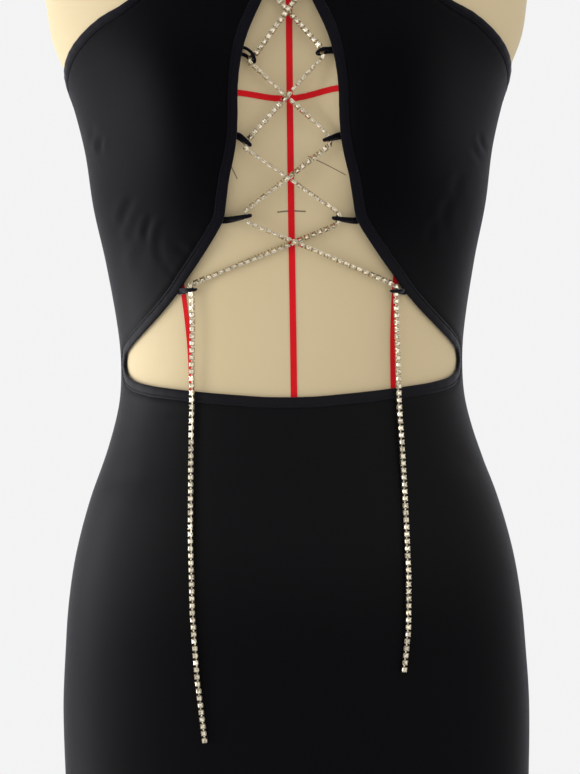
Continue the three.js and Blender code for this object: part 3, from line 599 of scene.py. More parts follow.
holders = {}
for pair, side, root_height, tip_x, tip_height in LOOPS:
    sign = -1 if side == "left" else 1
    root = body_point(sign * keyhole_turn(root_height), root_height, FORM_CUPS)
    tip_turn = float(turn_across(tip_x, tip_height))
    tip = body_point(tip_turn, tip_height, FORM_CUPS)
    out = body_normal(tip_turn, tip_height, FORM_CUPS)
    axis = tip - root
    axis = unit(axis - out * np.dot(axis, out))
    through = unit(np.cross(out, axis))
    if through[2] > 0:
        through = -through
    bend = (LACE_WIDTH + LOOP_CORD) / 2 + LACE_PLAY
    holders[pair, side] = {
        "middle": tip - axis * bend + out * LACE_LIFT,
        "axis": axis, "out": out, "through": through, "bend": bend,
    }
print("holders", len(holders))

# %% [markdown]
# ## Route of the lace
# A free cord has one length and one route. The chain is laced criss-cross from the middle at the
# top, and each half ends in a free end that hangs down over the skirt, so it is two cords. The
# points are the same as in the CAD source: two at each loop, two at each crossing.

# %% Lace route
HELD_ABOVE = 1086.0
# Each row: x, height, and lift over the cloth.
HANGING = {
    "a": [
        (68.3, 1072, 6.0), (68.4, 1040, 6.6), (69.0, 1012, 5.8), (71.2, 975, 5.5),
        (73.0, 935, 5.4), (74.2, 895, 5.4), (73.6, 862, 5.4), (70.4, 833, 5.4),
    ],
    "b": [
        (-63.8, 1072, 6.0), (-64.4, 1038, 6.6), (-65.0, 1010, 5.8), (-66.6, 965, 5.5),
        (-67.4, 920, 5.4), (-67.0, 875, 5.4), (-64.4, 830, 5.4), (-60.0, 788, 5.4),
    ],
}


def through_loop(pair, side):
    holder = holders[pair, side]
    run = holder["through"] * LACE_RUN
    return holder["middle"] - run, holder["middle"] + run


def other(side):
    return "left" if side == "right" else "right"


def cross_share(start, end, other_start, other_end):
    d, o = end - start, other_end - other_start
    gap = other_start - start
    return (gap[0] * o[2] - gap[2] * o[0]) / (d[0] * o[2] - d[2] * o[0])


def form_ahead(x, height):
    return float(body_point(turn_across(x, height), height, FORM_CUPS)[1])


def strand_corners(first_side, hanging, over):
    """over says, for each of the four crossings, whether this strand is the upper one."""
    sides = [first_side if i % 2 == 0 else other(first_side) for i in range(5)]
    enter, leave = through_loop(1, sides[0])
    start = enter.copy()
    start[0] = math.copysign(SEAM_GAP + 0.1, enter[0])
    corners = [start, enter, leave]
    for i in range(1, 5):
        start, end = through_loop(i, sides[i - 1])[1], through_loop(i + 1, sides[i])[0]
        against = (through_loop(i, other(sides[i - 1]))[1], through_loop(i + 1, other(sides[i]))[0])
        share = cross_share(start, end, *against)
        half = CROSS_RUN / np.linalg.norm(end - start)
        for at in (share - half, share + half):
            cross = start + (end - start) * at
            under = min(cross[1] + LACE_WIDTH / 2, form_ahead(cross[0], cross[2]) - LEAST_LIFT)
            cross[1] = under - LACE_WIDTH - CROSS_GAP if over[i - 1] else under
            corners.append(cross)
        corners.extend(through_loop(i + 1, sides[i]))
    for x, height, lift in hanging:
        corners.append(over_body(turn_across(x, height), height, lift))
    return np.array(corners)


strand_routes = {
    "a": strand_corners("right", HANGING["a"], (True, False, False, True)),
    "b": strand_corners("left", HANGING["b"], (False, True, True, False)),
}


def fine_route(corners, step=1.0):
    runs = run_lengths(corners)
    want = np.arange(0, runs[-1], step)
    return np.stack([np.interp(want, runs, corners[:, k]) for k in range(3)], axis=1)


def eased_route(corners):
    """Fine steps with the corners rounded, as a chain of short links bends."""
    fine = fine_route(corners)
    for _ in range(6):
        fine[1:-1] = (fine[:-2] + 2 * fine[1:-1] + fine[2:]) / 4
    for at in fine:
        if at[2] > HELD_ABOVE:
            at[1] = min(at[1], form_ahead(at[0], at[2]) - LEAST_LIFT + 0.3)
    return fine


routes = {key: eased_route(corners) for key, corners in strand_routes.items()}
for key, route in routes.items():
    print("lace", key, "length", round(float(run_lengths(route)[-1])), "mm")

# %% [markdown]
# ## Cup chain
# The lace is a cup chain: small square stones, each in a silver cup with four claws, joined by short
# links. One unit is modelled in edit mode from a cube: the top is inset and drawn in for the facets
# of the stone, and a second cube becomes the cup with its claws. The unit is then repeated along
# the route, turned a little from unit to unit, as a real chain twists.

# %% Stone
STONE = 3.0
CUP = 3.5
PITCH = 4.75


def mesh_parts(piece):
    """Points in mm and faces of a template; the template is then removed."""
    points = np.array([tuple(v.co) for v in piece.data.vertices]) / MM
    faces = [list(f.vertices) for f in piece.data.polygons]
    bpy.data.objects.remove(piece, do_unlink=True)
    return points, faces


def edit_faces(piece, wanted):
    """Selects, in edit mode, the faces that a test picks by their normal and centre."""
    select_only(piece)
    for part in (piece.data.vertices, piece.data.edges):
        for item in part:
            item.select = False
    for face in piece.data.polygons:
        face.select = wanted(face.normal, face.center)
    bpy.ops.object.mode_set(mode="EDIT")
    bpy.ops.mesh.select_mode(type="FACE")


def new_cube(size, place=(0, 0, 0)):
    select_nothing()
    bpy.ops.mesh.primitive_cube_add(size=1)
    piece = bpy.context.object
    for v in piece.data.vertices:
        v.co = [(v.co[k] * size[k] + place[k]) * MM for k in range(3)]
    return piece


stone = new_cube((STONE, STONE, 1.0), (0, 0, 0.55))
edit_faces(stone, lambda normal, centre: normal.z > 0.9)
bpy.ops.mesh.inset(thickness=0.7 * MM, depth=0.35 * MM)
bpy.ops.object.mode_set(mode="OBJECT")
edit_faces(stone, lambda normal, centre: abs(normal.z) < 0.3)
bpy.ops.mesh.bevel(offset=0.35 * MM, segments=1)
bpy.ops.object.mode_set(mode="OBJECT")
stone_points, stone_faces = mesh_parts(stone)
print("stone faces", len(stone_faces))

# %% Cup, claws and link
cup = new_cube((CUP, CUP, 1.2), (0, 0, -0.1))
edit_faces(cup, lambda normal, centre: normal.z > 0.9)
bpy.ops.mesh.inset(thickness=0.3 * MM, depth=0)
bpy.ops.mesh.extrude_region_move(TRANSFORM_OT_translate={"value": (0, 0, -0.35 * MM)})
bpy.ops.object.mode_set(mode="OBJECT")
edit_faces(cup, lambda normal, centre: normal.z < -0.9)
bpy.ops.mesh.inset(thickness=0.7 * MM, depth=0.25 * MM)
bpy.ops.object.mode_set(mode="OBJECT")
cup_points, cup_faces = mesh_parts(cup)

claw = new_cube((0.7, 0.7, 1.1), (STONE / 2 - 0.05, STONE / 2 - 0.05, 0.75))
edit_faces(claw, lambda normal, centre: normal.z > 0.9)
bpy.ops.transform.translate(value=(-0.25 * MM, -0.25 * MM, 0))
bpy.ops.object.mode_set(mode="OBJECT")
claw_points, claw_faces = mesh_parts(claw)
link = new_cube((0.8, 1.3, 0.5), (0, 0, -0.5))
edit_faces(link, lambda normal, centre: abs(normal.y) < 0.3)
bpy.ops.mesh.bevel(offset=0.14 * MM, segments=1)
bpy.ops.object.mode_set(mode="OBJECT")
link_points, link_faces = mesh_parts(link)
print("cup faces", len(cup_faces), "claw faces", len(claw_faces))

# %% Repeating parts along a line
def gather(parts):
    """Joins (points, faces) parts into one list of points and faces."""
    points, faces, start = [], [], 0
    for part_points, part_faces in parts:
        points.append(part_points)
        faces.extend([[start + i for i in face] for face in part_faces])
        start += len(part_points)
    return np.concatenate(points), faces


quarter = [np.array([[c, -s, 0], [s, c, 0], [0, 0, 1]]) for c, s in ((1, 0), (0, 1), (-1, 0), (0, -1))]
claws_points, claws_faces = gather([(claw_points @ turn.T, claw_faces) for turn in quarter])
setting_points, setting_faces = gather([(cup_points, cup_faces), (claws_points, claws_faces)])


def route_at(route, runs, want):
    return np.array([np.interp(want, runs, route[:, k]) for k in range(3)])


def outward_at(point, hanging):
    if point[2] > HEM_HEIGHT:
        turn = float(turn_across(point[0], point[2]))
        cups = CLOTH_CUPS if hanging else FORM_CUPS
        return body_normal(turn, point[2], cups)
    return np.array([0.0, -1.0, 0.0])


# %% [markdown]
# ## Twist of the chain
# A cup chain lies flat only where it is held flat. In the picture the stones face forwards in the
# top legs and in both hanging ends, and are turned on edge in most of the legs between the loops.
# The twist is written as one angle for each leg, and eased from leg to leg.

# %% Twist
LEG_TWIST = {
    "a": [(1290, 0), (1258, 5), (1244, 40), (1238, 84), (1220, 88), (1210, 60), (1194, 75),
          (1184, 45), (1166, 40), (1158, 70), (1142, 80), (1130, 85), (1120, 60), (1104, 72),
          (1094, 30), (1080, 0)],
    "b": [(1290, 0), (1256, 0), (1246, 45), (1238, 78), (1220, 75), (1212, 20), (1194, 10),
          (1186, 60), (1176, 85), (1150, 95), (1140, 60), (1128, 45), (1116, 60), (1102, 72),
          (1092, 30), (1080, 0)],
}
FREE_BELOW = 1080.0
FREE_SWAY = 9.0
UNEVEN_TWIST = 5.0
CHAIN_SINK = 0.2
AIM_REACH = 1.6
random.seed(41)
for key in ("a", "b"):
    heights = np.array([row[0] for row in LEG_TWIST[key]][::-1], float)
    angles = np.array([row[1] for row in LEG_TWIST[key]][::-1], float)
    route = routes[key]
    runs = run_lengths(route)
    count = int((runs[-1] - PITCH / 2) // PITCH) + 1
    stones, settings = [], []
    for n in range(count):
        at = PITCH / 2 + n * PITCH
        here = route_at(route, runs, at)
        ahead = route_at(route, runs, min(at + AIM_REACH, runs[-1]))
        tangent = unit(ahead - route_at(route, runs, max(at - AIM_REACH, 0)))
        hanging = here[2] < FREE_BELOW
        out = outward_at(here, hanging)
        if not hanging:
            out = unit(out + np.array([0, -0.6, 0]))
        face = unit(out - tangent * np.dot(out, tangent))
        side = np.cross(tangent, face)
        angle = math.radians(float(np.interp(here[2], heights, angles)) + random.gauss(0, UNEVEN_TWIST))
        if hanging:
            angle += math.radians(FREE_SWAY) * math.sin(n * 0.37)
        turned = face * math.cos(angle) + side * math.sin(angle)
        basis = np.stack([np.cross(tangent, turned), tangent, turned], axis=1)
        middle = here - turned * CHAIN_SINK
        stones.append((stone_points @ basis.T + middle, stone_faces))
        parts = [(setting_points @ basis.T + middle, setting_faces)]
        if n < count - 1:
            between = route_at(route, runs, at + PITCH / 2) - turned * CHAIN_SINK
            parts.append((link_points @ basis.T + between, link_faces))
        settings.extend(parts)
    stone_set = piece_from("lace_" + key + "_stones", *gather(stones))
    cup_set = piece_from("lace_" + key + "_cups", *gather(settings))
    finish_piece(stone_set, clear_stone, "stone_chain")
    finish_piece(cup_set, silver_plate, "stone_chain")
    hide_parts("lace_" + key)

# %% [markdown]
# ## The form
# The form is a padded shell under a tight cotton cover. The CAD torso is a coarse loft, so a finer
# one is made from the same sections, with the same flat ends at the shoulders. A second loft is the
# neck, and the two are joined by a Boolean union.

# %% Rings and lofts
FORM_COLUMNS = 160
NECK_CENTRE_BOTTOM = 17.0
NECK_CENTRE_TOP = 4.0
NECK_HALF_WIDTH = 54.0
NECK_HALF_DEPTH = 57.0
NECK_BOTTOM = 1375.0
NECK_TOP = 1500.0


def loft(rings, closed=False, capped=True):
    """Quads between rings of equal count; the last ring is joined to the first where closed."""
    rings = np.asarray(rings)
    count, columns = rings.shape[:2]
    faces = []
    for i in range(count if closed else count - 1):
        low, high = i * columns, ((i + 1) % count) * columns
        for k in range(columns):
            near, far = k, (k + 1) % columns
            faces.append([low + near, low + far, high + far, high + near])
    if capped and not closed:
        faces.append([k for k in range(columns)][::-1])
        faces.append([(count - 1) * columns + k for k in range(columns)])
    return rings.reshape(-1, 3), faces


def face_outwards(piece):
    select_only(piece)
    bpy.ops.object.mode_set(mode="EDIT")
    bpy.ops.mesh.select_all(action="SELECT")
    bpy.ops.mesh.normals_make_consistent(inside=False)
    bpy.ops.object.mode_set(mode="OBJECT")


def torso_ring(height, lift, columns=FORM_COLUMNS):
    turns = np.linspace(0, 2 * math.pi, columns, endpoint=False)
    ring = over_body(turns, height, np.full(columns, float(lift)), FORM_CUPS)
    ring[:, 0] = np.clip(ring[:, 0], -ARM_PLANE - lift, ARM_PLANE + lift)
    ring[:, 2] = height
    return ring


def neck_centre(heights):
    share = (heights - NECK_BOTTOM) / (NECK_TOP - NECK_BOTTOM)
    return NECK_CENTRE_BOTTOM + (NECK_CENTRE_TOP - NECK_CENTRE_BOTTOM) * share


def neck_points(turns, heights, lift):
    x = (NECK_HALF_WIDTH + lift) * np.sin(turns)
    y = neck_centre(heights) - (NECK_HALF_DEPTH + lift) * np.cos(turns)
    return np.stack([x, y, np.broadcast_to(heights, x.shape)], axis=-1)


# %% Torso and neck
torso_heights = np.concatenate([
    [TORSO_BOTTOM, TORSO_BOTTOM + 0.8], np.arange(741, 1395, 6.0),
    np.arange(1395, TORSO_TOP, 3.0), [TORSO_TOP]])
form = piece_from("form_cover", *loft([torso_ring(height, 0) for height in torso_heights]))
face_outwards(form)
around = np.linspace(0, 2 * math.pi, FORM_COLUMNS, endpoint=False)
neck_heights = np.linspace(NECK_BOTTOM, NECK_TOP, 22)
neck = piece_from("form_neck", *loft([neck_points(around, height, 0.0) for height in neck_heights]))
face_outwards(neck)
apply_modifier(form, "BOOLEAN", operation="UNION", solver="EXACT", object=neck)
bpy.data.objects.remove(neck, do_unlink=True)
smooth(form, 35)
finish_piece(form, cream_cotton, "form_cover", "form_torso")

# %% [markdown]
# ## Plates, cap and stand
# The caps and plates are flat turned or cut boards with eased edges. Each starts as a primitive of
# its own outline and is shaped in edit mode: faces are inset and moved, and the edge is bevelled,
# which a sharp CAD solid doesn't have. The stand is turned steel.

# %% Neck cap and arm plates
def faces_by(piece, axis, sign):
    edit_faces(piece, lambda normal, centre: normal[axis] * sign > 0.9)


def disc(name, radius, depth, place, sides=96):
    select_nothing()
    bpy.ops.mesh.primitive_cylinder_add(vertices=sides, radius=radius * MM, depth=depth * MM,
                                        location=[v * MM for v in place])
    piece = bpy.context.object
    piece.name = name
    bpy.ops.object.transform_apply(location=True, rotation=True, scale=True)
    return piece


def stretch(piece, centre, factors):
    for v in piece.data.vertices:
        v.co = [centre[k] * MM + (v.co[k] - centre[k] * MM) * factors[k] for k in range(3)]


def eased(piece, width, degrees=40, segments=3):
    apply_modifier(piece, "BEVEL", width=width * MM, segments=segments, limit_method="ANGLE",
                   angle_limit=math.radians(degrees))
    smooth(piece, 35)


NECK_CAP = 5.0
cap_place = (0, NECK_CENTRE_TOP, NECK_TOP + SEAM_GAP + (NECK_CAP - SEAM_GAP) / 2)
cap = disc("form_cap", NECK_HALF_WIDTH, NECK_CAP - SEAM_GAP, cap_place)
stretch(cap, cap_place, (1.01, NECK_HALF_DEPTH / NECK_HALF_WIDTH * 1.01, 1))
faces_by(cap, 2, 1)
bpy.ops.mesh.inset(thickness=14 * MM, depth=0)
bpy.ops.mesh.inset(thickness=1.2 * MM, depth=-0.6 * MM)
bpy.ops.object.mode_set(mode="OBJECT")
eased(cap, 1.0)
finish_piece(cap, pale_wood, "form_wood", "form_neck_cap")

PLATE = 3.0
ARM_PLATE_HEIGHT = 1362.0
ARM_PLATE_Y = 18.0
for side, sign in (("left", -1), ("right", 1)):
    middle = sign * (ARM_PLANE + SEAM_GAP + PLATE / 2)
    plate = disc("arm_plate_" + side, 30, PLATE, (0, 0, 0))
    for v in plate.data.vertices:
        x, y, z = (value / MM for value in v.co)
        v.co = [(middle + sign * z) * MM, (ARM_PLATE_Y + x) * MM, (ARM_PLATE_HEIGHT + y * 1.2) * MM]
    face_outwards(plate)
    faces_by(plate, 0, sign)
    bpy.ops.mesh.inset(thickness=5 * MM, depth=0)
    bpy.ops.mesh.inset(thickness=0.8 * MM, depth=-0.35 * MM)
    bpy.ops.object.mode_set(mode="OBJECT")
    eased(plate, 0.6)
    finish_piece(plate, cream_cotton, "form_plate", "form_arm_plate_" + side)

# %% Underside plate, collar, pole and base
UNDERSIDE_PLATE = 8.0
POLE_RADIUS = 14.0
COLLAR_RADIUS = 30.0
COLLAR_HEIGHT = 34.0
BASE_RADIUS = 200.0
BASE_HEIGHT = 12.0
HUB_HEIGHT = 14.0
plate_top = TORSO_BOTTOM - SEAM_GAP
plate_bottom = plate_top - UNDERSIDE_PLATE
outline = torso_ring(TORSO_BOTTOM, -6.0)


def at_height(ring, height):
    moved = ring.copy()
    moved[:, 2] = height
    return moved


underside_rings = [at_height(outline, plate_bottom), at_height(outline, plate_top)]
underside = piece_from("form_underboard", *loft(underside_rings))
face_outwards(underside)
eased(underside, 1.5)
finish_piece(underside, pale_wood, "form_wood", "form_underside")

collar_top = plate_bottom - SEAM_GAP
collar_bottom = collar_top - COLLAR_HEIGHT
COLLAR_RIM = 8.0
collar = disc("collar", COLLAR_RADIUS, COLLAR_RIM, (0, 0, collar_top - COLLAR_RIM / 2), 64)
faces_by(collar, 2, -1)
drop = (0, 0, -(COLLAR_HEIGHT - COLLAR_RIM) * MM)
bpy.ops.mesh.extrude_region_move(TRANSFORM_OT_translate={"value": drop})
taper = (POLE_RADIUS + 5) / COLLAR_RADIUS
bpy.ops.transform.resize(value=(taper, taper, 1))
bpy.ops.object.mode_set(mode="OBJECT")
eased(collar, 1.5)
finish_piece(collar, black_paint, "stand_iron", "stand_collar")

hub_top = BASE_HEIGHT + HUB_HEIGHT
pole_low, pole_high = hub_top + SEAM_GAP, collar_bottom - SEAM_GAP
pole = disc("pole", POLE_RADIUS, pole_high - pole_low, (0, 0, (pole_low + pole_high) / 2), 48)
eased(pole, 0.8)
finish_piece(pole, black_paint, "stand_iron", "stand_pole")

base = disc("base", BASE_RADIUS, BASE_HEIGHT, (0, 0, BASE_HEIGHT / 2), 128)
faces_by(base, 2, 1)
bpy.ops.mesh.inset(thickness=(BASE_RADIUS - POLE_RADIUS - 20) * MM, depth=0)
bpy.ops.mesh.inset(thickness=10 * MM, depth=HUB_HEIGHT * MM)
bpy.ops.object.mode_set(mode="OBJECT")
eased(base, 2.0, 30)
finish_piece(base, black_paint, "stand_iron", "stand_base")

# %% [markdown]
# ## Style tapes and pencil marks
# Narrow red tapes are pinned on a dress form along its balance lines: middle, bust line and princess
# lines. Each is a flat ribbon that lies on the cover, so it is a strip made straight from the body's
# surface. Where the dress covers the form the tapes go on under it.

# %% Ribbons on the form
TAPE_LOW = 0.06
TAPE_HIGH = 0.42
TAPE_TURN_SCALE = 140.0


def strip_on(points, width, low, high, surface, columns=4):
    """A thin closed strip along a surface; points are rows of turn and height."""
    points = np.asarray(points, float)
    centre = surface(points[:, 0], points[:, 1], np.zeros(len(points)))
    along = np.gradient(centre, axis=0)
    along /= np.linalg.norm(along, axis=1, keepdims=True)
    up = surface(points[:, 0], points[:, 1], np.ones(len(points))) - centre
    aside = np.cross(up, along)
    top = [centre + aside * (width * (k / columns - 0.5)) + up * high for k in range(columns + 1)]
    under = [centre + aside * (width * (k / columns - 0.5)) + up * low for k in range(columns, -1, -1)]
    return np.stack(top + under, axis=1)


def form_surface(turns, heights, lift):
    return over_body(turns, heights, lift, FORM_CUPS)


def neck_surface(turns, heights, lift):
    return neck_points(turns, heights, np.asarray(lift))


def resample(rows, step):
    rows = np.asarray(rows, float)
    runs = run_lengths(rows * (TAPE_TURN_SCALE, 1))
    want = np.linspace(0, runs[-1], max(2, int(runs[-1] / step)) + 1)
    return np.stack([np.interp(want, runs, rows[:, k]) for k in (0, 1)], axis=1)


def tape_along(rows, width, surface=form_surface):
    """rows of turn and height; a smooth curve is drawn through them."""
    rows = np.asarray(rows, float)
    if len(rows) > 2:
        rows = smooth_through(rows * (TAPE_TURN_SCALE, 1)) / (TAPE_TURN_SCALE, 1)
    return loft(strip_on(resample(rows, 5.0), width, TAPE_LOW, TAPE_HIGH, surface))


def by_place(rows, behind=False):
    """Rows of x and height on the front, or on the back, as turn and height."""
    made = []
    for x, height in rows:
        turn = float(turn_across(x, height))
        made.append((math.pi - turn if behind else turn, height))
    return made


BUST_LINE = [(-172, 1217), (-140, 1216), (-88, 1218), (-34, 1219.4), (0, 1216), (34, 1221.6),
             (88, 1219), (140, 1215)]
bust_round = by_place([row for row in BUST_LINE if abs(row[0]) < 141])
tenths = [k * math.pi / 10 for k in range(11)]
bust_behind = [(math.pi / 2 + tenth, 1214 + 4 * math.sin(tenth)) for tenth in tenths]
tapes = [
    tape_along(by_place([(1.6, 1410), (1.4, 1294), (1.0, 1160), (1.2, 1018), (0.0, 860), (0.0, 737)]), 4.3),
    tape_along([(0.01, 1414), (0.01, 1498)], 4.3, neck_surface),
    tape_along(bust_round, 4.0),
    tape_along(bust_behind, 4.0),
    tape_along([(math.pi, 1448), (math.pi, 1300), (math.pi, 1018), (math.pi, 860), (math.pi, 737)], 4.3),
    tape_along([(math.pi, 1466), (math.pi, 1498)], 4.3, neck_surface),
]
PRINCESS = {
    "left": ([(-98, 1412), (-92, 1340), (-88, 1270), (-86, 1216), (-80, 1140), (-72, 1088), (-67.5, 1021),
              (-72, 940), (-84, 840), (-88, 740)], 3.4),
    "right": ([(98, 1412), (92, 1340), (88, 1270), (85, 1216), (78, 1150), (70.8, 1100), (68, 1024),
               (72, 940), (84, 840), (88, 740)], 4.0),
}
for side, (rows, width) in PRINCESS.items():
    tapes.append(tape_along(by_place(rows), width))
    tapes.append(tape_along(by_place(rows, behind=True), width))
tape_set = piece_from("style_tapes", *gather(tapes))
face_outwards(tape_set)
smooth(tape_set, 30)
finish_piece(tape_set, red_tape, "form_cover")

# %% Pencil marks
MARKS = [
    ([(-8.3, 1141.6), (1, 1142.4), (10.7, 1141.8)], 1.0),
    ([(-38.8, 1172.6), (-34.5, 1163.6)], 0.7),
    ([(12.6, 1178), (24, 1172.5), (37.6, 1165)], 0.6),
]


def mark(rows, width):
    line = resample(by_place(rows), 3.0)
    return loft(strip_on(line, width, 0.03, 0.10, form_surface, 1))


marks = piece_from("pencil_marks", *gather([mark(rows, width) for rows, width in MARKS]))
face_outwards(marks)
finish_piece(marks, graphite, "form_cover")

# %% [markdown]
# ## Cloth as one even net
# The front is one piece of jersey with a hole in it, and the back another. Each is made from an
# even net of turn and height over the whole body, and the net is clipped along the seam curves, as
# a pattern is cut from a length of cloth. The net keeps its even squares, so the creases can be
# pushed in afterwards and the surface stays smooth.

# %% Clipping a net along a curve
ROUND_SCALE = 150.0


def seam_distance(turns, heights, curve, closed):
    """Distance in mm to a curve, positive to its left side as it is walked (inside where closed)."""
    points = np.stack([turns * ROUND_SCALE, heights], axis=-1).reshape(-1, 2)
    line = curve * (ROUND_SCALE, 1)
    if closed:
        line = np.concatenate([line, line[:1]])
    start, step = line[:-1], np.diff(line, axis=0)
    best = np.full(len(points), 1e9)
    signed = np.zeros(len(points))
    square = np.sum(step * step, axis=1)
    for i in range(len(start)):
        gap = points - start[i]
        share = np.clip(gap @ step[i] / square[i], 0, 1)
        off = gap - share[:, None] * step[i]
        distance = np.hypot(off[:, 0], off[:, 1])
        side = step[i][0] * gap[:, 1] - step[i][1] * gap[:, 0]
        nearer = distance < best - 1e-9
        best = np.where(nearer, distance, best)
        signed = np.where(nearer, np.sign(side), signed)
    return (best * signed).reshape(np.shape(turns))


def clip_net(turns, heights, keep):
    """The cells of a net of turns x heights where keep is positive, cut along keep = 0."""
    columns, rows = len(turns), len(heights)
    known, points, faces, inside_by = {}, [], [], []

    def corner(i, k):
        key = (i, k)
        if key not in known:
            known[key] = len(points)
            points.append((turns[k], heights[i]))
            inside_by.append(keep[i, k])
        return known[key]

    def crossing(i, k, j, m):
        key = tuple(sorted(((i, k), (j, m))))
        if key not in known:
            share = keep[i, k] / (keep[i, k] - keep[j, m])
            known[key] = len(points)
            points.append((turns[k] + (turns[m] - turns[k]) * share,
                           heights[i] + (heights[j] - heights[i]) * share))
            inside_by.append(0.0)
        return known[key]

    for i in range(rows - 1):
        for k in range(columns - 1):
            ring = [(i, k), (i, k + 1), (i + 1, k + 1), (i + 1, k)]
            inside = [keep[at] > 0 for at in ring]
            if not any(inside):
                continue
            face = []
            for n in range(4):
                here, there = ring[n], ring[(n + 1) % 4]
                if inside[n]:
                    face.append(corner(*here))
                if inside[n] != inside[(n + 1) % 4]:
                    face.append(crossing(*here, *there))
            if len(face) > 2:
                faces.append(face)
    return np.array(points), faces, np.array(inside_by)


# %% [markdown]
# ## Creases
# Stretch jersey on a padded form is taut nearly everywhere. It creases where the cut pulls it: short
# pulls at the sides of the bust below the armholes, small folds beside the keyhole, puckers along
# the bound edge and soft cross folds at the back of the waist. Each is a soft trough with a ridge
# beside it, placed at its own length, width and depth.

# %% Crease table
# Each row: start x and height, end x and height, width, depth (a ridge where negative).
FRONT_CREASES = [
    (-126, 1197, -128, 1186, 3.2, 1.10), (-134, 1206, -131, 1196, 4.0, 0.45),
    (129, 1196, 136, 1184, 3.0, 0.75), (124, 1186, 133, 1178, 3.6, 0.45),
    (-106, 1144, -112, 1125, 4.2, -0.60), (-104, 1155, -113, 1134, 4.4, 0.95),
    (-91, 1142, -97, 1124, 3.2, 1.05), (-87, 1139, -93, 1121, 3.6, -0.40),
    (-104, 1126, -109, 1104, 6.0, -0.45), (-88, 1126, -84, 1108, 4.0, 0.45),
    (109, 1152, 103, 1130, 5.0, 0.45), (98, 1138, 94, 1118, 4.4, 0.40),
    (117, 1170, 112, 1150, 5.5, 0.35),
    (-76, 1121, -66, 1114, 3.0, 0.55), (-70, 1112, -60, 1106, 2.8, 0.45), (-66, 1128, -58, 1119, 3.2, 0.50),
    (-84, 1108, -75, 1101, 3.0, 0.45), (-56, 1136, -50, 1128, 3.0, 0.40),
    (70, 1119, 61, 1111, 3.2, 0.40), (82, 1106, 73, 1099, 3.0, 0.35), (60, 1132, 54, 1124, 3.0, 0.30),
    (-62, 1012, -84, 1006, 5.0, 0.35), (58, 1012, 86, 1005, 5.0, 0.35),
    (-112, 1046, -96, 1032, 5.0, 0.40), (113, 1047, 98, 1033, 5.0, 0.40),
    (-128, 960, -104, 972, 9.0, 0.45), (129, 962, 106, 974, 9.0, 0.40),
    (-60, 1300, -40, 1292, 7.0, 0.30), (62, 1302, 42, 1293, 7.0, 0.30),
    (-34, 1340, -26, 1316, 6.0, 0.35), (36, 1346, 27, 1318, 6.0, 0.35),
    (-22, 1392, -16, 1350, 6.0, 0.30), (24, 1390, 17, 1346, 6.0, 0.30),
]
BACK_CREASES = [
    (-84, 1052, -18, 1046, 8.0, 0.80), (20, 1060, 92, 1052, 8.5, 0.80),
    (-62, 1036, 34, 1032, 9.0, 0.70), (-20, 1070, 58, 1074, 8.0, 0.60),
    (-96, 1078, -44, 1084, 8.0, 0.55), (38, 1018, 104, 1026, 8.0, 0.55),
    (-104, 1022, -58, 1014, 8.0, 0.50), (-34, 1009, 20, 1005, 8.0, 0.40),
    (-112, 1102, -78, 1112, 7.0, 0.45), (76, 1112, 116, 1100, 7.0, 0.45),
    (-120, 1148, -100, 1160, 5.0, 0.50), (121, 1150, 102, 1163, 5.0, 0.50),
    (-110, 986, -72, 978, 10.0, 0.40), (70, 980, 112, 988, 10.0, 0.40),
    (-16, 900, 14, 884, 12.0, 0.35), (-58, 760, -44, 700, 14.0, 0.30), (60, 756, 48, 690, 14.0, 0.30),
]


def crease_lift(places, table):
    """How far the cloth moves out (mm) at each place, from a table of creases in x and height."""
    lift = np.zeros(len(places))
    for x0, z0, x1, z1, width, depth in table:
        start, step = np.array([x0, z0]), np.array([x1 - x0, z1 - z0], float)
        gap = places[:, (0, 2)] - start
        share = gap @ step / (step @ step)
        ahead = np.clip(share, -0.6, 1.6)
        bow = 0.10 * np.linalg.norm(step) * np.sin(np.pi * np.clip(ahead, 0, 1))
        aside = (gap[:, 0] * step[1] - gap[:, 1] * step[0]) / np.linalg.norm(step) - bow
        taper = np.exp(-((share - 0.5) / 0.42) ** 4)
        across = aside / width
        trough = np.exp(-across**2 * 2.2)
        ridges = np.exp(-((across - 1.25) ** 2) * 2.0) + 0.7 * np.exp(-((across + 1.3) ** 2) * 2.0)
        lift += depth * taper * (0.62 * ridges - trough)
    return lift


# %% Cutting and finishing a panel
DEEPEST_CREASE = 0.85
NECK_AREA = 1380.0


def panel(name, turns, heights, keep, creases, behind):
    net, faces, inside = clip_net(turns, heights, keep)
    face_turn, face_height = net[:, 0], net[:, 1]
    middle = CLOTH_GAP + WALL / 2
    places = over_body(face_turn, face_height, np.full(len(net), middle))
    normals = body_normal(face_turn, face_height)
    lift = crease_lift(places, creases)
    lift = np.maximum(lift, -DEEPEST_CREASE)
    # The cloth swells a little beside its seam and sinks into it, and the hem waves softly.
    lift += 0.34 * np.exp(-(((inside - 2.6) / 1.5) ** 2)) - 0.5 * np.exp(-((inside / 0.9) ** 2))
    wide = np.exp(-((face_height - HEM_HEIGHT) / 26) ** 2)
    lift += wide * 0.5 * np.sin(face_turn * 5 + 0.7) * (-1 if behind else 1)
    places = places + normals * lift[:, None]
    arc = face_turn * ROUND_SCALE
    cloth = piece_from(name, places, faces, np.stack([arc, face_height], axis=1))
    area = sum(face.area for face in cloth.data.polygons)
    apply_modifier(cloth, "SOLIDIFY", thickness=WALL * MM, offset=0.0, use_even_offset=True)
    smooth(cloth, 50)
    print(name, "area", round(area, 4), "m2")
    return cloth, area


def net_lines(spans):
    """Even lines over several stretches: rows of (from, to, step)."""
    made = [np.arange(low, high - step * 0.4, step) for low, high, step in spans]
    return np.concatenate(made + [[spans[-1][1]]])


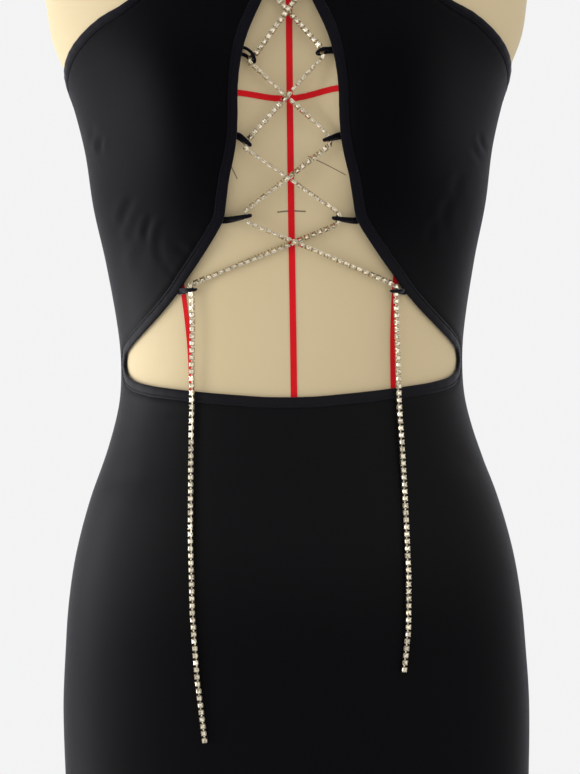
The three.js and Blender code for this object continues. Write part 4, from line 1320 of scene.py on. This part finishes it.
cloth_inset = BINDING_WIDTH + SEAM_GAP
keyhole_seam = shifted(whole_keyhole, cloth_inset, closed=True)
edge_seam = shifted(whole_edge, -cloth_inset)
half_seam = edge_seam[:len(half_edge)]
side_at = int(np.argmax(half_seam[:, 0] > math.pi / 2))
before_side, after_side = half_seam[side_at - 1], half_seam[side_at]
side_share = (math.pi / 2 - before_side[0]) / (after_side[0] - before_side[0])
side_top = before_side[1] + (after_side[1] - before_side[1]) * side_share
print("side seam top", round(float(side_top), 1), "keyhole seam", len(keyhole_seam))

# %% Front and back
FRONT_TOP = 1449.0
NECKBAND_OUT = CLOTH_GAP + WALL + 0.2
fine_row = [(HEM_HEIGHT, 606, 3.0), (606, 960, 5.5), (960, 1098, 3.0), (1098, 1204, 2.2)]
side_edge = math.pi / 2 - 0.001
fine_end = math.pi / 2 - 7.0 / ROUND_SCALE
side_lines = [(-side_edge, -fine_end, 1.4 / ROUND_SCALE), (-fine_end, fine_end, 4.0 / ROUND_SCALE),
              (fine_end, side_edge, 1.4 / ROUND_SCALE)]


def outside_neck(turns, heights):
    places = over_body(turns, heights, np.full(np.shape(turns), CLOTH_GAP + WALL / 2))
    centre = neck_centre(places[..., 2])
    wide = NECK_HALF_WIDTH + NECKBAND_OUT + SEAM_GAP
    deep = NECK_HALF_DEPTH + NECKBAND_OUT + SEAM_GAP
    reach = np.hypot(places[..., 0] / wide, (places[..., 1] - centre) / deep)
    return (reach - 1) * wide


turn_lines = net_lines(side_lines)
row_lines = net_lines(fine_row + [(1204, FRONT_TOP, 3.6)])
T, H = np.meshgrid(turn_lines, row_lines)
keep = np.minimum(seam_distance(T, H, keyhole_seam, True),
                  -seam_distance(np.abs(T), H, half_seam, False))
keep = np.where(H > NECK_AREA, np.minimum(keep, outside_neck(T, H)), keep)
dress_front, front_area = panel("dress_front_cloth", turn_lines, row_lines, keep, FRONT_CREASES, False)
finish_piece(dress_front, black_jersey, "dress_jersey", "dress_front")

back_turns = turn_lines + math.pi
back_rows = net_lines(fine_row + [(1204, float(side_top), 3.6)])
T, H = np.meshgrid(back_turns, back_rows)
from_side = np.where(T > math.pi, 2 * math.pi - T, T)
keep = -seam_distance(from_side, H, half_seam, False)
dress_back, back_area = panel("dress_back_cloth", back_turns, back_rows, keep, BACK_CREASES, True)
finish_piece(dress_back, black_jersey, "dress_jersey", "dress_back")

# %% [markdown]
# ## Stitches
# Each stitch is a short rounded grain of thread that lies on the cloth. One grain is modelled from
# a small cube, bevelled, and repeated at even steps along a seam curve.

# %% Stitch rows
STITCH_LENGTH = 2.1
STITCH_STEP = 2.9
grain = new_cube((STITCH_LENGTH, 0.55, 0.5))
edit_faces(grain, lambda normal, centre: normal.z > 0.9)
bpy.ops.transform.resize(value=(0.6, 0.5, 1))
bpy.ops.object.mode_set(mode="OBJECT")
edit_faces(grain, lambda normal, centre: abs(normal.x) > 0.6)
bpy.ops.transform.resize(value=(1, 0.6, 0.8))
bpy.ops.object.mode_set(mode="OBJECT")
grain_points, grain_faces = mesh_parts(grain)


def stitch_row(curve, lift, closed=False, step=STITCH_STEP):
    """Grains of thread along rows of turn and height, at a lift over the body."""
    if closed:
        curve = np.concatenate([curve, curve[:1]])
    line = over_body(curve[:, 0], curve[:, 1], np.full(len(curve), float(lift)))
    above = over_body(curve[:, 0], curve[:, 1], np.full(len(curve), float(lift) + 1))
    runs = run_lengths(line)
    made = []
    for at in np.arange(step / 2, runs[-1] - step / 2, step):
        here = route_at(line, runs, at)
        tangent = unit(route_at(line, runs, at + 0.8) - route_at(line, runs, at - 0.8))
        up = unit(route_at(above, runs, at) - here)
        up = unit(up - tangent * np.dot(up, tangent))
        basis = np.stack([tangent, np.cross(up, tangent), up], axis=1)
        made.append((grain_points @ basis.T + here, grain_faces))
    return made


# %% [markdown]
# ## Bindings
# A binding is a strip folded over the raw edge and stitched down, so it is thicker than the cloth,
# round at the fold and drawn in a little at the stitch line. Its section is swept along the edge
# curve; each point of the section follows its own curve, moved into the cloth by its distance.

# %% Binding section
# Distance in from the edge, and height over the body, once round the strip.
BINDING_SECTION = [
    (0.00, 1.80), (0.12, 2.25), (0.50, 2.62), (1.10, 2.82), (2.00, 2.90), (3.20, 2.92), (4.30, 2.84),
    (5.00, 2.66), (5.50, 2.48), (5.95, 2.62), (6.40, 2.66), (6.90, 2.54), (7.30, 2.20), (7.45, 1.70),
    (7.45, 1.00), (3.50, 0.90), (0.70, 0.92), (0.22, 1.20),
]
STITCH_IN = 5.45
PUCKER_STEP = 11.0
SMALL_PUCKER_STEP = 4.7


def binding_strip(curve, closed, side):
    columns = []
    walk = even_walk(curve)
    for inward, lift in BINDING_SECTION:
        moved = shifted(curve, side * inward, closed)
        wide_pucker = 0.10 * np.sin(walk * 2 * math.pi / PUCKER_STEP)
        swell = wide_pucker + 0.06 * np.sin(walk * 2 * math.pi / SMALL_PUCKER_STEP + 1)
        rise = lift + (swell if lift > 1.5 else 0) * (1 if inward < 5.2 else 0.3)
        columns.append(over_body(moved[:, 0], moved[:, 1], rise * np.ones(len(curve))))
    rings = np.stack(columns, axis=1)
    arcs = np.repeat(walk[:, None], len(BINDING_SECTION), axis=1)
    round_section = np.broadcast_to(np.arange(len(BINDING_SECTION)) * 1.2, arcs.shape)
    uvs = np.stack([arcs, round_section], axis=-1).reshape(-1, 2)
    points, faces = loft(rings, closed=closed)
    return points, faces, uvs


def even_walk(curve):
    return run_lengths(body_point(curve[:, 0], curve[:, 1]))


points, faces, uvs = binding_strip(whole_keyhole, True, 1)
keyhole_band = piece_from("keyhole_band", points, faces, uvs)
face_outwards(keyhole_band)
smooth(keyhole_band, 60)
finish_piece(keyhole_band, binding_jersey, "binding_jersey", "keyhole_binding")
keyhole_length = float(even_walk(whole_keyhole)[-1])

# %% Edge binding, cut where the neckband stands
points, faces, uvs = binding_strip(whole_edge, False, -1)
edge_band = piece_from("edge_band", points, faces, uvs)
face_outwards(edge_band)
room = piece_from("neck_room", *loft([neck_points(around, height, NECKBAND_OUT + SEAM_GAP)
                                      for height in (NECK_BOTTOM, NECK_TOP)]))
face_outwards(room)
apply_modifier(edge_band, "BOOLEAN", operation="DIFFERENCE", solver="EXACT", object=room)
bpy.data.objects.remove(room, do_unlink=True)
smooth(edge_band, 60)
finish_piece(edge_band, binding_jersey, "binding_jersey", "edge_binding")
edge_length = float(even_walk(whole_edge)[-1])
print("keyhole binding", round(keyhole_length), "mm, edge binding", round(edge_length), "mm")

# %% [markdown]
# ## Neckband
# The halter closes in a short standing band. It is a doubled ring of jersey with a round top fold,
# and its foot follows the slope of the shoulders, so the height where the neck meets the torso is
# looked for at each step round the neck.

# %% Neckband
NECKBAND_HEIGHT = 26.0
NECKBAND_LOW_FRONT = 1405.0
NECKBAND_LOW_BACK = 1462.0
BAND_SECTION = [(1.1, 0.0), (1.1, 0.5), (1.1, 0.955), (1.3, 0.99), (1.8, 1.0), (2.3, 0.99), (2.5, 0.955),
                (2.55, 0.80), (2.6, 0.5), (2.55, 0.2), (2.35, 0.13), (2.5, 0.06), (2.4, 0.0)]


def in_torso(x, y, height, lift):
    if height > TORSO_TOP:
        return False
    wide = float(read_column("half_width", height)) + lift
    if abs(x) >= wide:
        return False
    turn = float(turn_across(x * (wide - lift) / wide, height))
    ahead = float(over_body(turn, height, lift, FORM_CUPS)[1])
    behind = float(over_body(math.pi - turn, height, lift, FORM_CUPS)[1])
    return ahead < y < behind


def band_foot(turn, lift):
    low, high = 1380.0, TORSO_TOP + 4
    for _ in range(18):
        middle = (low + high) / 2
        x, y, _z = neck_points(np.array(turn), np.array(middle), lift)
        low, high = (middle, high) if in_torso(x, y, middle, CLOTH_GAP) else (low, middle)
    return (low + high) / 2


band_rings = []
for turn in around:
    behind_share = (1 - math.cos(turn)) / 2
    low_edge = NECKBAND_LOW_FRONT + (NECKBAND_LOW_BACK - NECKBAND_LOW_FRONT) * behind_share
    top = low_edge + NECKBAND_HEIGHT
    foot = {lift: band_foot(turn, lift) for lift in (1.1, 2.4)}
    ring = []
    for lift, share in BAND_SECTION:
        low = foot[1.1] if lift < 1.5 else foot[2.4]
        height = low + (top - low) * share
        ring.append(neck_points(np.array(turn), np.array(height), lift))
    band_rings.append(ring)
band_uvs = [[turn * 56, k * 2.0] for turn in around for k in range(len(BAND_SECTION))]
points, faces = loft(np.array(band_rings), closed=True)
neck_band = piece_from("neck_band", points, faces, np.array(band_uvs))
face_outwards(neck_band)
smooth(neck_band, 60)
finish_piece(neck_band, binding_jersey, "binding_jersey", "neckband")

# %% Sewn rows on bindings and hem
HEM_ROWS = (17.5, 20.5)
BINDING_ROWS = ((STITCH_IN, 2.56), (6.3, 2.72))
rows = []
for inward, lift in BINDING_ROWS:
    rows += stitch_row(shifted(whole_keyhole, inward, True), lift, closed=True)
front_edge = whole_edge[8:-8]
for inward, lift in BINDING_ROWS:
    rows += stitch_row(shifted(front_edge, -inward), lift)
stitches = piece_from("binding_stitches", *gather(rows))
finish_piece(stitches, thread_black, "binding_jersey")

hem_turns = np.linspace(0, 2 * math.pi, 241)[:-1]
rows = []
for up in HEM_ROWS:
    curve = np.stack([hem_turns, np.full(len(hem_turns), HEM_HEIGHT + up)], axis=1)
    rows += stitch_row(curve, CLOTH_GAP + WALL + 0.08, closed=True, step=3.4)
hem_stitches = piece_from("hem_stitches", *gather(rows))
finish_piece(hem_stitches, thread_black, "dress_jersey")

# %% [markdown]
# ## Rouleau loops
# A rouleau is a narrow tube of jersey. Each loop is one tube bent in two, with its ends sewn under
# the binding a few millimetres apart and its bight round the chain, so it looks like a small wedge.
# The tube is swept along a smooth curve through a few points.

# %% Loops
OPEN_LOOPS = {(2, "left"): 2.1}
CLOSED_SPREAD = 0.7
BIGHT_DEPTH = 0.6
LOOP_SECTION = 10
ROOT_TUCK = 3.0


def tube(points, radii, sides=LOOP_SECTION, flat=1.0):
    """A tube along points with its own radius at each, its section a little flattened."""
    points = np.asarray(points, float)
    tangents = np.gradient(points, axis=0)
    tangents /= np.linalg.norm(tangents, axis=1, keepdims=True)
    side = unit(np.cross(tangents[0], [0.0, -1.0, 0.1]))
    rings = []
    last = len(points) - 1
    for i, (at, tangent) in enumerate(zip(points, tangents)):
        side = unit(side - tangent * np.dot(side, tangent))
        up = np.cross(tangent, side)
        size = radii[i] * (0.55 if i in (0, last) else 1.0)
        angles = np.linspace(0, 2 * math.pi, sides, endpoint=False)
        rings.append(at + size * (np.outer(np.cos(angles), side) + flat * np.outer(np.sin(angles), up)))
    return loft(np.array(rings))


def tucked_root(height, side, lift):
    """A place under the binding, ROOT_TUCK in from its edge."""
    edge = keyhole_upper
    near = int(np.argmin(np.abs(edge[:, 1] - height)))
    around_root = edge[max(near - 2, 0):near + 3]
    inward = shifted(around_root, ROOT_TUCK)[min(near, 2)]
    turn = inward[0] * (1 if side == "right" else -1)
    return over_body(turn, inward[1], np.array(lift), FORM_CUPS)


for pair, side, root_height, _x, _height in LOOPS:
    holder = holders[pair, side]
    axis, out, middle = holder["axis"], holder["out"], holder["middle"]
    is_open = (pair, side) in OPEN_LOOPS
    spread = OPEN_LOOPS.get((pair, side), CLOSED_SPREAD)
    down = holder["through"] * spread
    reach = holder["bend"]

    def bight(along, outward, across):
        return middle + axis * (along * reach) + out * (outward * reach * BIGHT_DEPTH) + down * across

    def edge_root(across, lift):
        turn = keyhole_turn(root_height - across * spread) * (1 if side == "right" else -1)
        return over_body(turn, root_height - across * spread, np.array(lift), FORM_CUPS) + axis * 0.5

    line = [
        tucked_root(root_height - spread, side, 0.75),
        edge_root(1.0, ROOT_LIFT - 0.4),
        bight(-0.5, -0.8, 0.55),
        bight(0.2, -1.0, 0.3),
        bight(0.8, -0.6, 0.1),
        bight(1.0, 0.0, 0.0),
        bight(0.8, 0.6, -0.1),
        bight(0.2, 1.0, -0.3),
        bight(-0.5, 0.9, -0.55),
        edge_root(-1.0, ROOT_LIFT + 0.2),
        tucked_root(root_height + spread, side, 0.75),
    ]
    way = smooth_through(line, 6)
    to_root = np.abs(np.linspace(-1, 1, len(way)))
    radii = LOOP_CORD / 2 * (1.0 + (0.15 if is_open else 0.75) * to_root)
    points, faces = tube(way, radii, flat=0.9 if is_open else 0.62)
    number = np.arange(len(points))
    uvs = np.stack([number % LOOP_SECTION * 0.7, number // LOOP_SECTION * 0.6], axis=1)
    loop = piece_from("rouleau_{}_{}".format(pair, side), points, faces, uvs)
    face_outwards(loop)
    smooth(loop, 60)
    finish_piece(loop, binding_jersey, "binding_jersey", "loop_{}_{}".format(pair, side))

# %% [markdown]
# ## The cloth
# The dress is a tube of two panels. The jersey is cut a little smaller than the form and stretches
# over it.

# %% [markdown]
# ## Light and floor
# The picture has a plain near-white ground and a broad soft light from the left. An even near-white
# world gives the ground and the soft fill, two large area lights on the left give the modelling, and
# a weak one on the right lifts the shaded side.

# %% Stage and lights
def area_light(name, place, target, size, power, colour):
    data = bpy.data.lights.new(name, "AREA")
    data.shape = "RECTANGLE"
    data.size, data.size_y = size
    data.energy = power
    data.color = colour
    light = bpy.data.objects.new(name, data)
    light.location = place
    light.rotation_euler = (Vector(target) - Vector(place)).to_track_quat("-Z", "Y").to_euler()
    bpy.context.collection.objects.link(light)


CHEST = (0, 0, 1.1)
HIPS = (0, 0, 0.85)
area_light("key light", (-2.4, -0.9, 1.0), HIPS, (1.1, 1.5), 19, (0.93, 0.97, 1.0))
area_light("left edge light", (-1.9, 0.6, 0.8), HIPS, (0.8, 1.6), 30, (0.97, 0.98, 1.0))
area_light("right fill light", (1.6, -2.2, 1.5), CHEST, (1.4, 1.9), 4, (1.0, 0.97, 0.93))
world = bpy.data.worlds.new("studio")
world.use_nodes = True
world.node_tree.nodes["Background"].inputs["Color"].default_value = (0.90, 0.90, 0.905, 1)
world.node_tree.nodes["Background"].inputs["Strength"].default_value = 1.0
bpy.context.scene.world = world

select_nothing()
bpy.ops.mesh.primitive_plane_add(size=1, location=(0, 0, 0))
floor = bpy.context.object
floor.name = "studio_floor"
for v in floor.data.vertices:
    v.co = (v.co.x * 8, v.co.y * 8, -0.0005)
select_only(floor)
bpy.ops.object.mode_set(mode="EDIT")
bpy.ops.mesh.subdivide(number_cuts=7)
bpy.ops.object.mode_set(mode="OBJECT")
floor_finish = Finish("pale studio paper")
paper = floor_finish.noise(3.0, 2.0)
paper_colour = floor_finish.blend(paper, (0.86, 0.86, 0.865), (0.89, 0.89, 0.895))
floor_finish.set(Base_Color=paper_colour, Roughness=0.9)
floor.data.materials.append(floor_finish.material)

bpy.context.scene.view_settings.view_transform = "Standard"
